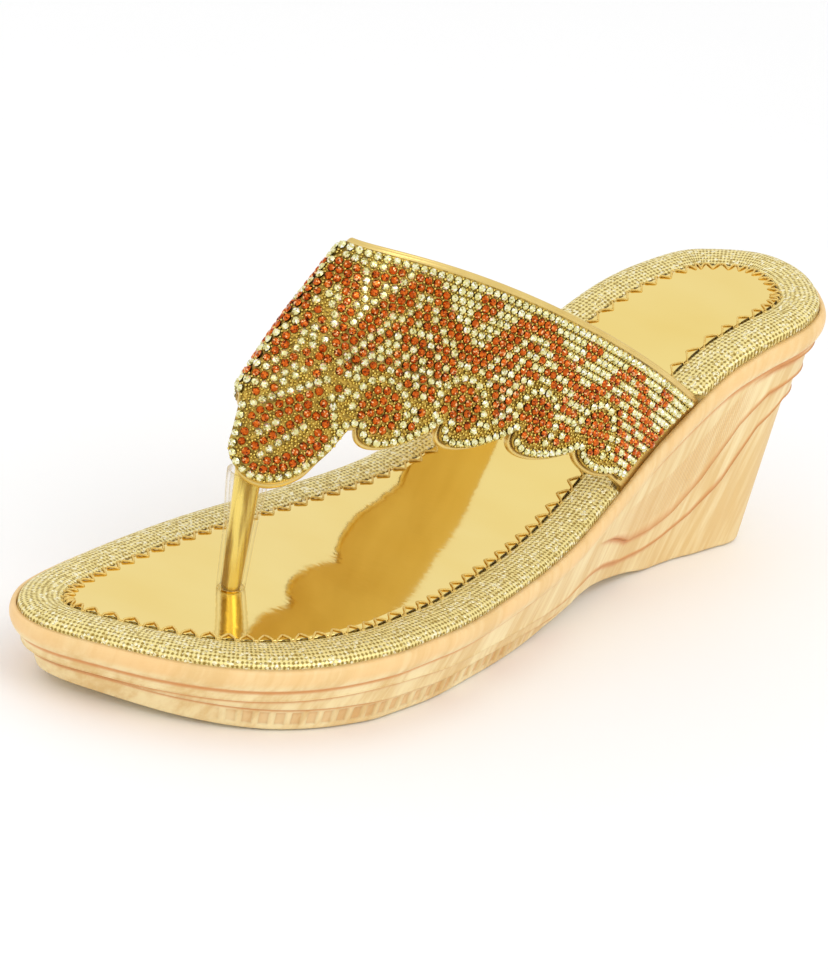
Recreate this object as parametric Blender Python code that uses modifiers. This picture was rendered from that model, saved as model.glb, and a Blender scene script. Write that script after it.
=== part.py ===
"""Slip-on wedge sandal for the left foot: moulded sole, padded footbed, mirror
insole, V strap with its stone panel, and a toe post in a clear sleeve.

All sizes are millimetres until the meshes are made. While the shape is worked
out, x runs from the heel's back (0) to the toe tip (SOLE_LENGTH), +y is the
outer (little toe) side and z = 0 is the floor. The finished pieces are moved so
that the origin lies at the middle of the sole's outline, on the floor.
"""
import math
from collections import namedtuple

import bpy
import bmesh

MM = 0.001

# Driving sizes of the last and the sole
SOLE_LENGTH = 250.0
BALL_WIDTH = 83.0
HEEL_RIM = 68.0
FOREFOOT_RIM = 18.0
ARCH_RISE = 4.0
TOE_SPRING = 3.0
SIDE_TAPER = 5.6
HEEL_RAKE = 9.0

# The rim bead, the steps in the side, and the seat for the footbed
LIP_OUT = 2.4
LIP_DROP = 6.0
STEP_DEPTH = 0.9
STEP_FALL = 0.7
SEAT_DEPTH = 4.0
FLOOR_CHAMFER = 0.8

# Soft layers on the sole
CLEARANCE = 0.3
BINDING_WIDTH = 11.0
BINDING_PUFF = 2.2
HEEL_PAD = 1.0
INSOLE_THICKNESS = 0.6
INSOLE_SINK = 0.4
BED_BEVEL_IN = 1.2
BED_BEVEL_UP = 0.9

# The V strap and its stone panel
STRAP_THICKNESS = 1.6
CROWN_RISE = 83.0
NOSE_RISE = 42.5
TUCK_DEPTH = 2.6
SCALLOP_RADIUS = 12.4
SCALLOP_DEPTH = 8.8
TEARDROP_RADIUS = 12.9
TEARDROP_DEPTH = 15.9
INNER_CUT_BACK = 8.5
PANEL_THICKNESS = 1.2
PANEL_BACK_MARGIN = 2.0
PANEL_FRONT_MARGIN = 0.9
PANEL_BASE_MARGIN = 4.0

# The toe post
POST_RADIUS = 2.3
POST_TOP_RADIUS = 3.5
SLEEVE_WALL = 0.9
SLEEVE_GAP = 1.2
POST_SET_BACK = 1.2
POST_HEAD_GAP = 0.6

# How finely the lofts are cut
OUTLINE_STEPS = 50
POST_SIDES = 20

OutlineRow = namedtuple("OutlineRow", "along lateral medial")
# Along in shares of the sole's length, both sides in shares of the ball width
OUTLINE = (
    OutlineRow(0.00, 0.000, 0.000),
    OutlineRow(0.02, 0.193, -0.169),
    OutlineRow(0.05, 0.288, -0.270),
    OutlineRow(0.10, 0.325, -0.325),
    OutlineRow(0.15, 0.308, -0.355),
    OutlineRow(0.20, 0.292, -0.370),
    OutlineRow(0.30, 0.312, -0.383),
    OutlineRow(0.40, 0.375, -0.378),
    OutlineRow(0.50, 0.450, -0.386),
    OutlineRow(0.60, 0.512, -0.416),
    OutlineRow(0.70, 0.552, -0.446),
    OutlineRow(0.75, 0.552, -0.453),
    OutlineRow(0.80, 0.525, -0.456),
    OutlineRow(0.85, 0.465, -0.453),
    OutlineRow(0.90, 0.359, -0.441),
    OutlineRow(0.95, 0.175, -0.404),
    OutlineRow(0.98, -0.006, -0.343),
    OutlineRow(1.00, -0.211, -0.211),
)

RimRow = namedtuple("RimRow", "along rise")
# Rise of the rim in shares of the way from the forefoot's rim to the heel's
RIM = (
    RimRow(0.00, 1.00),
    RimRow(0.15, 0.82),
    RimRow(0.30, 0.49),
    RimRow(0.45, 0.20),
    RimRow(0.60, 0.10),
    RimRow(0.75, 0.06),
    RimRow(0.90, 0.01),
    RimRow(1.00, 0.00),
)

UnderRow = namedtuple("UnderRow", "along arch spring")
# Lift of the underside in shares of the arch's rise and of the toe spring
UNDERSIDE = (
    UnderRow(0.00, 0.00, 0.0),
    UnderRow(0.24, 0.00, 0.0),
    UnderRow(0.29, 0.45, 0.0),
    UnderRow(0.34, 0.85, 0.0),
    UnderRow(0.39, 1.00, 0.0),
    UnderRow(0.45, 0.40, 0.0),
    UnderRow(0.51, 0.08, 0.0),
    UnderRow(0.56, 0.00, 0.0),
    UnderRow(0.86, 0.00, 0.0),
    UnderRow(0.93, 0.00, 0.3),
    UnderRow(1.00, 0.00, 1.0),
)

LineRow = namedtuple("LineRow", "along fin inner outer ledge")
# The lines moulded in the side, in shares of its height from floor to rim.
# The fin and the inner leaf stop at the waist, the ledge starts there.
SIDE_LINES = (
    LineRow(0.00, 0.86, 0.75, 0.66, 0.08),
    LineRow(0.08, 0.87, 0.76, 0.66, 0.08),
    LineRow(0.12, 0.88, 0.75, 0.58, 0.08),
    LineRow(0.16, 0.86, 0.66, 0.38, 0.08),
    LineRow(0.20, 0.78, 0.46, 0.26, 0.08),
    LineRow(0.24, 0.70, 0.36, 0.21, 0.08),
    LineRow(0.28, 0.66, 0.31, 0.16, 0.07),
    LineRow(0.32, 0.66, 0.32, 0.15, 0.07),
    LineRow(0.36, 0.68, 0.47, 0.20, 0.08),
    LineRow(0.40, 0.70, 0.60, 0.24, 0.09),
    LineRow(0.45, 0.70, 0.61, 0.26, 0.10),
    LineRow(0.52, 0.70, 0.61, 0.37, 0.22),
    LineRow(0.60, 0.69, 0.60, 0.44, 0.28),
    LineRow(0.70, 0.68, 0.60, 0.50, 0.29),
    LineRow(0.80, 0.68, 0.64, 0.59, 0.33),
    LineRow(0.90, 0.68, 0.65, 0.61, 0.36),
    LineRow(1.00, 0.68, 0.65, 0.61, 0.36),
)

SIDE_ORDER = ("fin", "inner", "outer", "ledge")

StepRow = namedtuple("StepRow", "along fin inner outer ledge")
# Depth of the step under each line, in shares of STEP_DEPTH
STEPS = (
    StepRow(0.00, 1.2, 1.2, 1.2, 0.0),
    StepRow(0.12, 1.2, 1.2, 1.2, 0.0),
    StepRow(0.17, 0.0, 1.0, 1.2, 0.0),
    StepRow(0.36, 0.0, 1.0, 1.2, 0.0),
    StepRow(0.41, 0.0, 0.0, 1.0, 0.0),
    StepRow(0.46, 0.0, 0.0, 1.0, 1.0),
    StepRow(1.00, 0.0, 0.0, 1.0, 1.0),
)

WingRow = namedtuple("WingRow", "side front_base back_base back_spread back_round back_fall "
                                "front_spread front_fall")
# Where each wing of the V enters the sole, in shares of the length, and how its
# two edges spread sideways and fall on the way there
WINGS = (
    WingRow(1, 0.375, 0.24, 1.62, 2.2, 1.35, 1.22, 3.0),
    WingRow(-1, 0.375, 0.24, 1.10, 2.0, 0.62, 1.05, 1.0),
)

SpineRow = namedtuple("SpineRow", "across bow")
# Forward bow of the V's middle line, in shares of the sole's length. Across runs
# from the front edge's chord (0) to the back edge (1).
SPINE = (
    SpineRow(-0.35, -0.0520),
    SpineRow(-0.20, -0.0220),
    SpineRow(-0.10, -0.0080),
    SpineRow(0.00, 0.0000),
    SpineRow(0.30, 0.0168),
    SpineRow(0.60, 0.0152),
    SpineRow(0.85, 0.0052),
    SpineRow(1.00, 0.0000),
)
CROWN_ALONG, CROWN_ACROSS = 0.680, -0.048
NOSE_ALONG, NOSE_ACROSS = 0.812, -0.060
FRONT_LIFT = 2.0

# Middles of the front edge's scallops, as places round the V from -1 at the
# inner side's rim, over 0 at its fold, to 1 at the outer side's rim. The fold is
# tight, so the wall has its own closer places there.
TEARDROP_PLACE = 0.204
FOLD_PLACES = (-0.09, -0.065, -0.045, -0.025, -0.005)
ScallopRow = namedtuple("ScallopRow", "place depth")
# Depth in shares of SCALLOP_DEPTH, less where the edge nears the rim
SCALLOPS = (
    ScallopRow(-0.900, 0.40),
    ScallopRow(-0.760, 0.90),
    ScallopRow(-0.605, 1.00),
    ScallopRow(-0.430, 0.90),
    ScallopRow(-0.250, 0.50),
    ScallopRow(0.440, 0.85),
    ScallopRow(0.605, 1.00),
    ScallopRow(0.757, 0.95),
    ScallopRow(0.893, 0.42),
)
# The inner wing's front edge lies further back from the fold to the first of
# these places, and comes forward as far as the second
CUT_BACK_HOLD, CUT_BACK_END = -0.12, -0.50

# Rows across the strap, closer together where its nose curves, from front to back
STRAP_ROWS = (0.0, 0.10, 0.21, 0.35, 0.54, 0.77, 1.0)

# The post's foot on the insole, and its head under the teardrop
POST_ALONG, POST_ACROSS = 0.808, -0.006
POST_HEAD_PLACE, POST_HEAD_ACROSS = 0.105, -0.115


def smooth(rows, column, at):
    """Value of one column of a table at a place in its first column."""
    xs = [row[0] for row in rows]
    ys = [getattr(row, column) for row in rows]
    return smooth_list(xs, ys, at)


def smooth_list(xs, ys, at):
    """Cubic through the points, level at each crest and hollow so that it never overshoots."""
    last = len(xs) - 1
    at = min(max(at, xs[0]), xs[-1])
    i = 0
    while i < last - 1 and at > xs[i + 1]:
        i += 1

    def slope(k):
        if k == 0:
            return (ys[1] - ys[0]) / (xs[1] - xs[0])
        if k == last:
            return (ys[-1] - ys[-2]) / (xs[-1] - xs[-2])
        before = xs[k] - xs[k - 1]
        after = xs[k + 1] - xs[k]
        rise_before = (ys[k] - ys[k - 1]) / before
        rise_after = (ys[k + 1] - ys[k]) / after
        if rise_before * rise_after <= 0:
            return 0.0
        return (rise_before * after + rise_after * before) / (before + after)

    step = xs[i + 1] - xs[i]
    t = (at - xs[i]) / step
    return ((2 * t ** 3 - 3 * t ** 2 + 1) * ys[i]
            + (t ** 3 - 2 * t ** 2 + t) * step * slope(i)
            + (3 * t ** 2 - 2 * t ** 3) * ys[i + 1]
            + (t ** 3 - t ** 2) * step * slope(i + 1))


def straight(rows, column, at):
    """Value of one column between two rows, without overshoot."""
    at = min(max(at, rows[0][0]), rows[-1][0])
    for low, high in zip(rows[:-1], rows[1:]):
        if at <= high[0]:
            share = (at - low[0]) / (high[0] - low[0])
            start = getattr(low, column)
            return start + (getattr(high, column) - start) * share
    return getattr(rows[-1], column)


def mix(a, b, share):
    return tuple(a[i] + (b[i] - a[i]) * share for i in range(3))


def edge_y(along, side):
    """Sideways place of the rim's inner edge."""
    angles = [math.acos(1 - 2 * row.along) for row in OUTLINE]
    column = "lateral" if side > 0 else "medial"
    values = [getattr(row, column) for row in OUTLINE]
    return BALL_WIDTH * smooth_list(angles, values, math.acos(1 - 2 * along))


def rim_z(along):
    rise = smooth(RIM, "rise", along)
    return FOREFOOT_RIM + (HEEL_RIM - FOREFOOT_RIM) * rise


def under_z(along):
    return (ARCH_RISE * smooth(UNDERSIDE, "arch", along)
            + TOE_SPRING * smooth(UNDERSIDE, "spring", along))


def outline_places():
    """Places round the sole: up the outer side from the heel, back down the inner."""
    places = []
    for i in range(OUTLINE_STEPS + 1):
        places.append(((1 - math.cos(math.pi * i / OUTLINE_STEPS)) / 2, 1))
    for i in range(OUTLINE_STEPS - 1, 0, -1):
        places.append(((1 - math.cos(math.pi * i / OUTLINE_STEPS)) / 2, -1))
    return places


def outline_frame():
    """For each place: its share along, the rim point and the outward direction."""
    places = outline_places()
    flat = [(along * SOLE_LENGTH, edge_y(along, side)) for along, side in places]
    count = len(flat)
    frame = []
    for i, (along, side) in enumerate(places):
        ahead, behind = flat[(i + 1) % count], flat[i - 1]
        dx, dy = ahead[0] - behind[0], ahead[1] - behind[1]
        size = math.hypot(dx, dy)
        frame.append((along, flat[i], (-dy / size, dx / size)))
    return frame


FRAME = outline_frame()


def ring(height, out):
    """One ring round the sole; height and out are functions of the share along."""
    points = []
    for along, (x, y), (nx, ny) in FRAME:
        low, high = under_z(along), rim_z(along)
        share = height(along)
        taper = SIDE_TAPER * (1 - share)
        push = out(along) - taper
        rake = HEEL_RAKE * (1 - share) * max(0.0, 1 - along / 0.3) ** 1.5
        points.append((x + nx * push + rake, y + ny * push, low + (high - low) * share))
    return points


def below_rim(drop):
    """Height share of a place a given drop below the rim."""
    return lambda along: 1 - drop / (rim_z(along) - under_z(along))


def line_level(line, along):
    """Height share of a moulded line, kept clear of the bead and the lines above it."""
    side = rim_z(along) - under_z(along)
    level = 1 - LIP_DROP / side
    for name in SIDE_ORDER[:SIDE_ORDER.index(line) + 1]:
        level = min(straight(SIDE_LINES, name, along), level - 1.5 * STEP_FALL / side)
    return level


def side_rings():
    """The sole's side, from the rim's inner edge down to the floor."""
    rings = []
    for drop, out in ((0.0, 0.0), (LIP_DROP * 0.2, LIP_OUT * 0.72),
                      (LIP_DROP * 0.6, LIP_OUT), (LIP_DROP, LIP_OUT * 0.7)):
        rings.append(ring(below_rim(drop), lambda along, out=out: out))
    for number, line in enumerate(SIDE_ORDER):
        above = SIDE_ORDER[:number]

        def height(along, line=line, shift=0.0):
            return line_level(line, along) + shift / (rim_z(along) - under_z(along))

        def out(along, passed=above):
            return LIP_OUT * 0.45 - STEP_DEPTH * sum(straight(STEPS, name, along) for name in passed)

        fall = STEP_FALL / 2
        rings.append(ring(lambda along, h=height: h(along, shift=fall), out))
        rings.append(ring(lambda along, h=height: h(along, shift=-fall),
                          lambda along, o=out, names=above + (line,): o(along, names)))

    def foot_out(along):
        return LIP_OUT * 0.45 - STEP_DEPTH * sum(straight(STEPS, name, along) for name in SIDE_ORDER)

    rings.append(ring(lambda along: FLOOR_CHAMFER / (rim_z(along) - under_z(along)), foot_out))
    rings.append(ring(lambda along: 0.0, lambda along: foot_out(along) - FLOOR_CHAMFER))
    return rings


def inner_ring(inset, dz):
    """A ring inside the rim; dz above it is a number or a function of the share along."""
    points = []
    for along, (x, y), (nx, ny) in FRAME:
        lift = dz(along) if callable(dz) else dz
        points.append((x - nx * inset, y - ny * inset, rim_z(along) + lift))
    return points


def heel_pad(along):
    """Extra thickness of the pad under the heel."""
    return HEEL_PAD * max(0.0, min(1.0, (0.55 - along) / 0.35))


def add_object(name, vertices, faces, collection):
    """Mesh object from points in millimetres, moved to the finished origin."""
    shift_x, shift_y = CENTRE
    mesh = bpy.data.meshes.new(name)
    mesh.from_pydata([((x - shift_x) * MM, (y - shift_y) * MM, z * MM) for x, y, z in vertices], [], faces)
    mesh.validate()
    built = bmesh.new()
    built.from_mesh(mesh)
    bmesh.ops.recalc_face_normals(built, faces=built.faces)
    built.to_mesh(mesh)
    built.free()
    thing = bpy.data.objects.new(name, mesh)
    collection.objects.link(thing)
    return thing


def bridge(count, lower, upper):
    """Quads between two closed rings of the same count."""
    faces = []
    for i in range(count):
        j = (i + 1) % count
        faces.append((lower * count + i, lower * count + j, upper * count + j, upper * count + i))
    return faces


def cross_strips(first, count):
    """Cap of a ring round the sole: strips from the outer side to the inner."""
    half = count // 2
    faces = [(first, first + 1, first + count - 1)]
    for i in range(1, half - 1):
        faces.append((first + i, first + i + 1, first + count - i - 1, first + count - i))
    faces.append((first + half - 1, first + half, first + half + 1))
    return faces


def stacked_rings(name, rings, collection):
    """Closed solid through rings round the sole, capped at both ends."""
    count = len(rings[0])
    vertices = [point for one in rings for point in one]
    faces = []
    for level in range(len(rings) - 1):
        faces += bridge(count, level, level + 1)
    faces += cross_strips(0, count)
    faces += cross_strips((len(rings) - 1) * count, count)
    return add_object(name, vertices, faces, collection)


def strap_chords(u):
    """Ends of the strap's width at a place round the V: front chord and back edge."""
    wing = WINGS[0] if u >= 0 else WINGS[1]
    a = min(abs(u), 1.0)
    f = a * a * (2 - a)
    crown = (CROWN_ALONG * SOLE_LENGTH, CROWN_ACROSS * BALL_WIDTH, FOREFOOT_RIM + CROWN_RISE + 2.0)
    nose = (NOSE_ALONG * SOLE_LENGTH, NOSE_ACROSS * BALL_WIDTH, FOREFOOT_RIM + NOSE_RISE + 1.5)
    back_end = strap_base(wing, 1.0)
    front_end = strap_base(wing, 0.0)
    root = math.sqrt(f)
    back_out = root * (wing.back_spread - (wing.back_spread - 1) * f ** wing.back_round)
    front_out = root * (wing.front_spread - (wing.front_spread - 1) * f ** 2)
    back = (crown[0] + (back_end[0] - crown[0]) * f,
            crown[1] + (back_end[1] - crown[1]) * back_out,
            crown[2] + (back_end[2] - crown[2]) * f ** wing.back_fall)
    front = (nose[0] + (front_end[0] - nose[0]) * f,
             nose[1] + (front_end[1] - nose[1]) * front_out,
             nose[2] + (front_end[2] - nose[2]) * f ** wing.front_fall
             + FRONT_LIFT * max(math.sin(math.pi * f), 0.0) ** 0.8)
    return front, back


def strap_base(wing, across):
    """The middle of the strap's wall where it enters the gap inside the rim."""
    along = wing.front_base + (wing.back_base - wing.front_base) * across
    inset = 2 * CLEARANCE + STRAP_THICKNESS / 2
    return (along * SOLE_LENGTH, edge_y(along, wing.side) - wing.side * inset, rim_z(along))


def strap_middle(u, across):
    """The middle of the strap's wall. Past 1 either way it drops into the sole's gap."""
    a = min(abs(u), 1.0)
    front, back = strap_chords(u)
    x, y, z = mix(front, back, across)
    x += SOLE_LENGTH * smooth(SPINE, "bow", across) * (1 - a) ** 3
    wing = WINGS[0] if u >= 0 else WINGS[1]
    seat = strap_base(wing, across)
    chord = mix(strap_base(wing, 0.0), strap_base(wing, 1.0), across)
    x, y, z = (value + (seat[i] - chord[i]) * a ** 6 for i, value in enumerate((x, y, z)))
    return (x, y, z - TUCK_DEPTH * max(abs(u) - 1.0, 0.0))


def strap_point(u, across, lift=0.0):
    """A point a lift outside the middle of the strap's wall."""
    d = 0.002
    reach = min(max(u, -1.0 + d), 1.0 - d)
    ahead, behind = strap_middle(reach + d, across), strap_middle(reach - d, across)
    high, low = strap_middle(reach, across + d), strap_middle(reach, across - d)
    a = [ahead[i] - behind[i] for i in range(3)]
    b = [high[i] - low[i] for i in range(3)]
    normal = (a[1] * b[2] - a[2] * b[1], a[2] * b[0] - a[0] * b[2], a[0] * b[1] - a[1] * b[0])
    size = math.sqrt(sum(value * value for value in normal))
    middle = strap_middle(u, across)
    return tuple(middle[i] + normal[i] / size * lift for i in range(3))


def strap_width(u):
    front, back = strap_chords(u)
    return math.dist(front, back)


def front_lengths(steps=200):
    """Places round the V with their distance along the front chord from its fold."""
    places = [i / steps for i in range(-steps, steps + 1)]
    points = [strap_chords(place)[0] for place in places]
    lengths = [0.0]
    for one, other in zip(points[:-1], points[1:]):
        lengths.append(lengths[-1] + math.dist(one, other))
    return places, lengths


PLACES, LENGTHS = front_lengths()


def length_at(u):
    return straight_list(PLACES, LENGTHS, u)


def place_at(length):
    return straight_list(LENGTHS, PLACES, length)


def straight_list(xs, ys, at):
    at = min(max(at, xs[0]), xs[-1])
    for i in range(len(xs) - 1):
        if at <= xs[i + 1]:
            return ys[i] + (ys[i + 1] - ys[i]) * (at - xs[i]) / (xs[i + 1] - xs[i])
    return ys[-1]


def bulges():
    """Each round bulge of the front edge: middle and half width along it, radius, depth."""
    found = []
    for row in SCALLOPS:
        found.append((length_at(row.place), SCALLOP_RADIUS, SCALLOP_DEPTH * row.depth))
    found.append((length_at(TEARDROP_PLACE), TEARDROP_RADIUS, TEARDROP_DEPTH))
    rows = []
    for middle, radius, depth in sorted(found):
        shallow = max(radius - depth, 0.0)
        rows.append((middle, math.sqrt(radius ** 2 - shallow ** 2), radius, depth))
    return rows


BULGES = bulges()


def front_depth(u):
    """How far the scalloped front edge hangs past its chord."""
    length = length_at(u)
    depth = 0.0
    for middle, half, radius, deep in BULGES:
        off = abs(length - middle)
        if off < half:
            depth = max(depth, math.sqrt(radius ** 2 - off ** 2) - (radius - deep))
    if CUT_BACK_END < u <= 0.0:
        depth -= INNER_CUT_BACK * min(1.0, (u - CUT_BACK_END) / (CUT_BACK_HOLD - CUT_BACK_END))
    elif 0.0 < u < TEARDROP_PLACE and depth == 0.0:
        fold = length_at(0.0)
        start = length_at(TEARDROP_PLACE) - TEARDROP_RADIUS
        share = (length - fold) / (start - fold)
        depth = (INNER_CUT_BACK + TEARDROP_DEPTH - TEARDROP_RADIUS) * share - INNER_CUT_BACK
    return depth


def strap_places(end):
    """Places round the V, closer together where the front edge curves."""
    lengths = []
    for middle, half, radius, deep in BULGES:
        steps = 12 if deep > SCALLOP_DEPTH else 7
        for i in range(steps + 1):
            lengths.append(middle - half * math.cos(math.pi * i / steps))
    lengths += [length_at(place) for place in FOLD_PLACES]
    places = [place_at(length) for length in sorted(lengths)]
    inside = [place for place in places if -end + 0.01 < place < end - 0.01]
    kept = [-end]
    for place in inside:
        if place - kept[-1] > 0.006:
            kept.append(place)
    return kept + [end]


def strap_sheet(name, places, lift, front_margin, back_margin, collection):
    """Open sheet of the V at a lift from its wall's middle, inside the given margins."""
    vertices = []
    for u in places:
        width = strap_width(u)
        low = (front_margin - front_depth(u)) / width
        high = 1 - back_margin / width
        for row in STRAP_ROWS:
            vertices.append(strap_point(u, low + (high - low) * row, lift))
    faces = []
    stride = len(STRAP_ROWS)
    for i in range(len(places) - 1):
        for row in range(stride - 1):
            first = i * stride + row
            faces.append((first, first + stride, first + stride + 1, first + 1))
    return add_object(name, vertices, faces, collection)


def thicken(thing, thickness):
    solid = thing.modifiers.new("Wall", "SOLIDIFY")
    solid.thickness = thickness * MM
    solid.offset = 0.0
    solid.use_even_offset = False
    solid.use_quality_normals = True
    return thing


def tucked_places():
    """The strap's places with its two ends let down inside the rim."""
    return [-2.0, -1.5] + strap_places(1.0) + [1.5, 2.0]


def make_sole(collection):
    rings = [inner_ring(0.0, -SEAT_DEPTH)] + side_rings()
    return stacked_rings("sole", rings, collection)


def footbed_rings():
    """The padded bed: a rolled edge in fabric, and a shallow seat for the insole."""
    bottom = CLEARANCE - SEAT_DEPTH
    side = CLEARANCE
    insole_seat = BINDING_PUFF - INSOLE_SINK - INSOLE_THICKNESS - CLEARANCE

    def padded(lift):
        return lambda along: lift + heel_pad(along)

    return [
        inner_ring(side + BED_BEVEL_IN, bottom),
        inner_ring(side, bottom + BED_BEVEL_UP),
        inner_ring(side, -0.4),
        inner_ring(side + 0.5, padded(BINDING_PUFF * 0.30)),
        inner_ring(side + 2.0, padded(BINDING_PUFF * 0.75)),
        inner_ring(side + 4.4, padded(BINDING_PUFF)),
        inner_ring(side + 8.0, padded(BINDING_PUFF * 0.95)),
        inner_ring(BINDING_WIDTH - CLEARANCE, padded(BINDING_PUFF * 0.72)),
        inner_ring(BINDING_WIDTH, padded(insole_seat)),
    ]


def make_footbed(collection, cutters):
    bed = stacked_rings("footbed", footbed_rings(), collection)
    for side in (1, -1):
        cut(bed, strap_gap(side, cutters))
    cut(bed, post_hole(cutters))
    return bed


def insole_top(along):
    return rim_z(along) + BINDING_PUFF - INSOLE_SINK + heel_pad(along)


def make_insole(collection, cutters):
    inset = BINDING_WIDTH + CLEARANCE
    low = BINDING_PUFF - INSOLE_SINK - INSOLE_THICKNESS
    rings = [inner_ring(inset, lambda along: low + heel_pad(along)),
             inner_ring(inset, lambda along: low + INSOLE_THICKNESS + heel_pad(along))]
    sock = stacked_rings("insole", rings, collection)
    cut(sock, post_hole(cutters))
    return sock


def make_upper(collection):
    sheet = strap_sheet("upper", tucked_places(), 0.0, 0.0, 0.0, collection)
    return thicken(sheet, STRAP_THICKNESS)


def make_panel(collection):
    """The stone-set panel, raised from the strap's own surface."""
    lift = STRAP_THICKNESS / 2 + CLEARANCE + PANEL_THICKNESS / 2
    end = 1.0 - PANEL_BASE_MARGIN / (LENGTHS[-1] - length_at(0.0))
    sheet = strap_sheet("stone_panel", strap_places(end), lift, PANEL_FRONT_MARGIN, PANEL_BACK_MARGIN,
                        collection)
    return thicken(sheet, PANEL_THICKNESS)


def strap_gap(side, cutters):
    """Cutter for the gap that one end of the strap goes down through."""
    places = [side * place for place in (0.80, 0.85, 0.90, 0.95, 1.0, 2.0 + CLEARANCE / TUCK_DEPTH)]
    vertices = []
    thick = STRAP_THICKNESS / 2 + CLEARANCE
    stride = 7
    for lift in (-thick, thick + 2 * CLEARANCE):
        for u in places:
            width = strap_width(u)
            low = -(front_depth(u) + CLEARANCE) / width
            high = 1 + CLEARANCE / width
            for k in range(stride):
                vertices.append(strap_point(u, low + (high - low) * k / (stride - 1), lift))
    layer = stride * len(places)
    faces = []
    for i in range(len(places) - 1):
        for k in range(stride - 1):
            a = i * stride + k
            faces.append((a, a + 1, a + stride + 1, a + stride))
            faces.append((layer + a, layer + a + stride, layer + a + stride + 1, layer + a + 1))
    border = [(0, k) for k in range(stride)] + [(i, stride - 1) for i in range(1, len(places))]
    border += [(len(places) - 1, k) for k in range(stride - 2, -1, -1)]
    border += [(i, 0) for i in range(len(places) - 2, 0, -1)]
    ids = [i * stride + k for i, k in border]
    for one, other in zip(ids, ids[1:] + ids[:1]):
        faces.append((one, layer + one, layer + other, other))
    thing = add_object("strap_gap_outer" if side > 0 else "strap_gap_inner", vertices, faces, cutters)
    return as_cutter(thing)


def post_foot():
    along = POST_ALONG
    return (along * SOLE_LENGTH, POST_ACROSS * BALL_WIDTH, insole_top(along))


def post_hole(cutters):
    """Cutter for the post's hole through the insole and the footbed."""
    x, y, z = post_foot()
    bpy.ops.mesh.primitive_cylinder_add(vertices=POST_SIDES, radius=(POST_RADIUS + CLEARANCE) * MM,
                                        depth=4 * SEAT_DEPTH * MM,
                                        location=((x - CENTRE[0]) * MM, (y - CENTRE[1]) * MM, z * MM))
    hole = bpy.context.object
    hole.name = "post_hole"
    for home in list(hole.users_collection):
        home.objects.unlink(hole)
    cutters.objects.link(hole)
    return as_cutter(hole)


def as_cutter(thing):
    thing.hide_render = True
    thing.display_type = "WIRE"
    return thing


def cut(thing, cutter):
    boolean = thing.modifiers.new("Cut " + cutter.name, "BOOLEAN")
    boolean.operation = "DIFFERENCE"
    boolean.solver = "EXACT"
    boolean.object = cutter


def post_axis(share):
    """Middle of the post, from the insole (0) to its head behind the teardrop (1)."""
    foot = post_foot()
    behind = STRAP_THICKNESS / 2 + POST_TOP_RADIUS + POST_SET_BACK
    head = strap_point(POST_HEAD_PLACE, POST_HEAD_ACROSS, -behind)
    return mix(foot, head, share)


def post_ring(share, extra=0.0):
    """A level ring of the post, wider towards its head."""
    x, y, z = post_axis(share)
    radius = POST_RADIUS + (POST_TOP_RADIUS - POST_RADIUS) * max(share, 0.0) + extra
    points = []
    for i in range(POST_SIDES):
        angle = 2 * math.pi * i / POST_SIDES
        points.append((x + radius * math.cos(angle), y + radius * math.sin(angle), z))
    return points


def post_head_ring():
    """The post's end, laid against the inside of the strap."""
    d = 0.01
    low = strap_middle(POST_HEAD_PLACE, POST_HEAD_ACROSS)
    round_size = math.dist(low, strap_middle(POST_HEAD_PLACE + d, POST_HEAD_ACROSS)) / d
    across_size = math.dist(low, strap_middle(POST_HEAD_PLACE, POST_HEAD_ACROSS + d)) / d
    points = []
    for i in range(POST_SIDES):
        angle = 2 * math.pi * i / POST_SIDES
        u = POST_HEAD_PLACE + POST_TOP_RADIUS * math.sin(angle) / round_size
        w = POST_HEAD_ACROSS - POST_TOP_RADIUS * math.cos(angle) / across_size
        points.append(strap_point(u, w, -(STRAP_THICKNESS / 2 + POST_HEAD_GAP)))
    return points


def fan(first, count):
    return [tuple(range(first, first + count))]


def sleeve_top():
    """How far up the post its sleeve ends, just below the teardrop's lowest point."""
    foot, head = post_foot(), post_axis(1.0)
    tip = strap_point(TEARDROP_PLACE, -front_depth(TEARDROP_PLACE) / strap_width(TEARDROP_PLACE))
    return (tip[2] - SLEEVE_GAP - foot[2]) / (head[2] - foot[2])


def make_post(collection):
    foot = post_foot()
    bed_floor = rim_z(POST_ALONG) - SEAT_DEPTH + CLEARANCE
    bottom = (bed_floor - foot[2]) / (post_axis(1.0)[2] - foot[2])
    shares = (bottom, 0.0, sleeve_top() / 2, sleeve_top())
    rings = [post_ring(share) for share in shares]
    for i, (x, y, z) in enumerate(rings[0]):
        along_post = rings[1][i]
        rings[0][i] = (along_post[0], along_post[1], z)
    rings.append(post_head_ring())
    vertices = [point for one in rings for point in one]
    faces = []
    for level in range(len(rings) - 1):
        faces += bridge(POST_SIDES, level, level + 1)
    faces += fan(0, POST_SIDES) + fan((len(rings) - 1) * POST_SIDES, POST_SIDES)
    return add_object("toe_post", vertices, faces, collection)


def make_sleeve(collection):
    """Clear tube round the post, standing on the insole."""
    foot, head = post_foot(), post_axis(1.0)
    low = CLEARANCE / (head[2] - foot[2])
    high = sleeve_top()
    levels = [low + (high - low) * i / 3 for i in range(4)]
    outer = [post_ring(share, CLEARANCE + SLEEVE_WALL) for share in levels]
    inner = [post_ring(share, CLEARANCE) for share in reversed(levels)]
    rings = outer + inner
    vertices = [point for one in rings for point in one]
    faces = []
    for level in range(len(rings)):
        faces += bridge(POST_SIDES, level, (level + 1) % len(rings))
    return add_object("post_sleeve", vertices, faces, collection)


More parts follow.
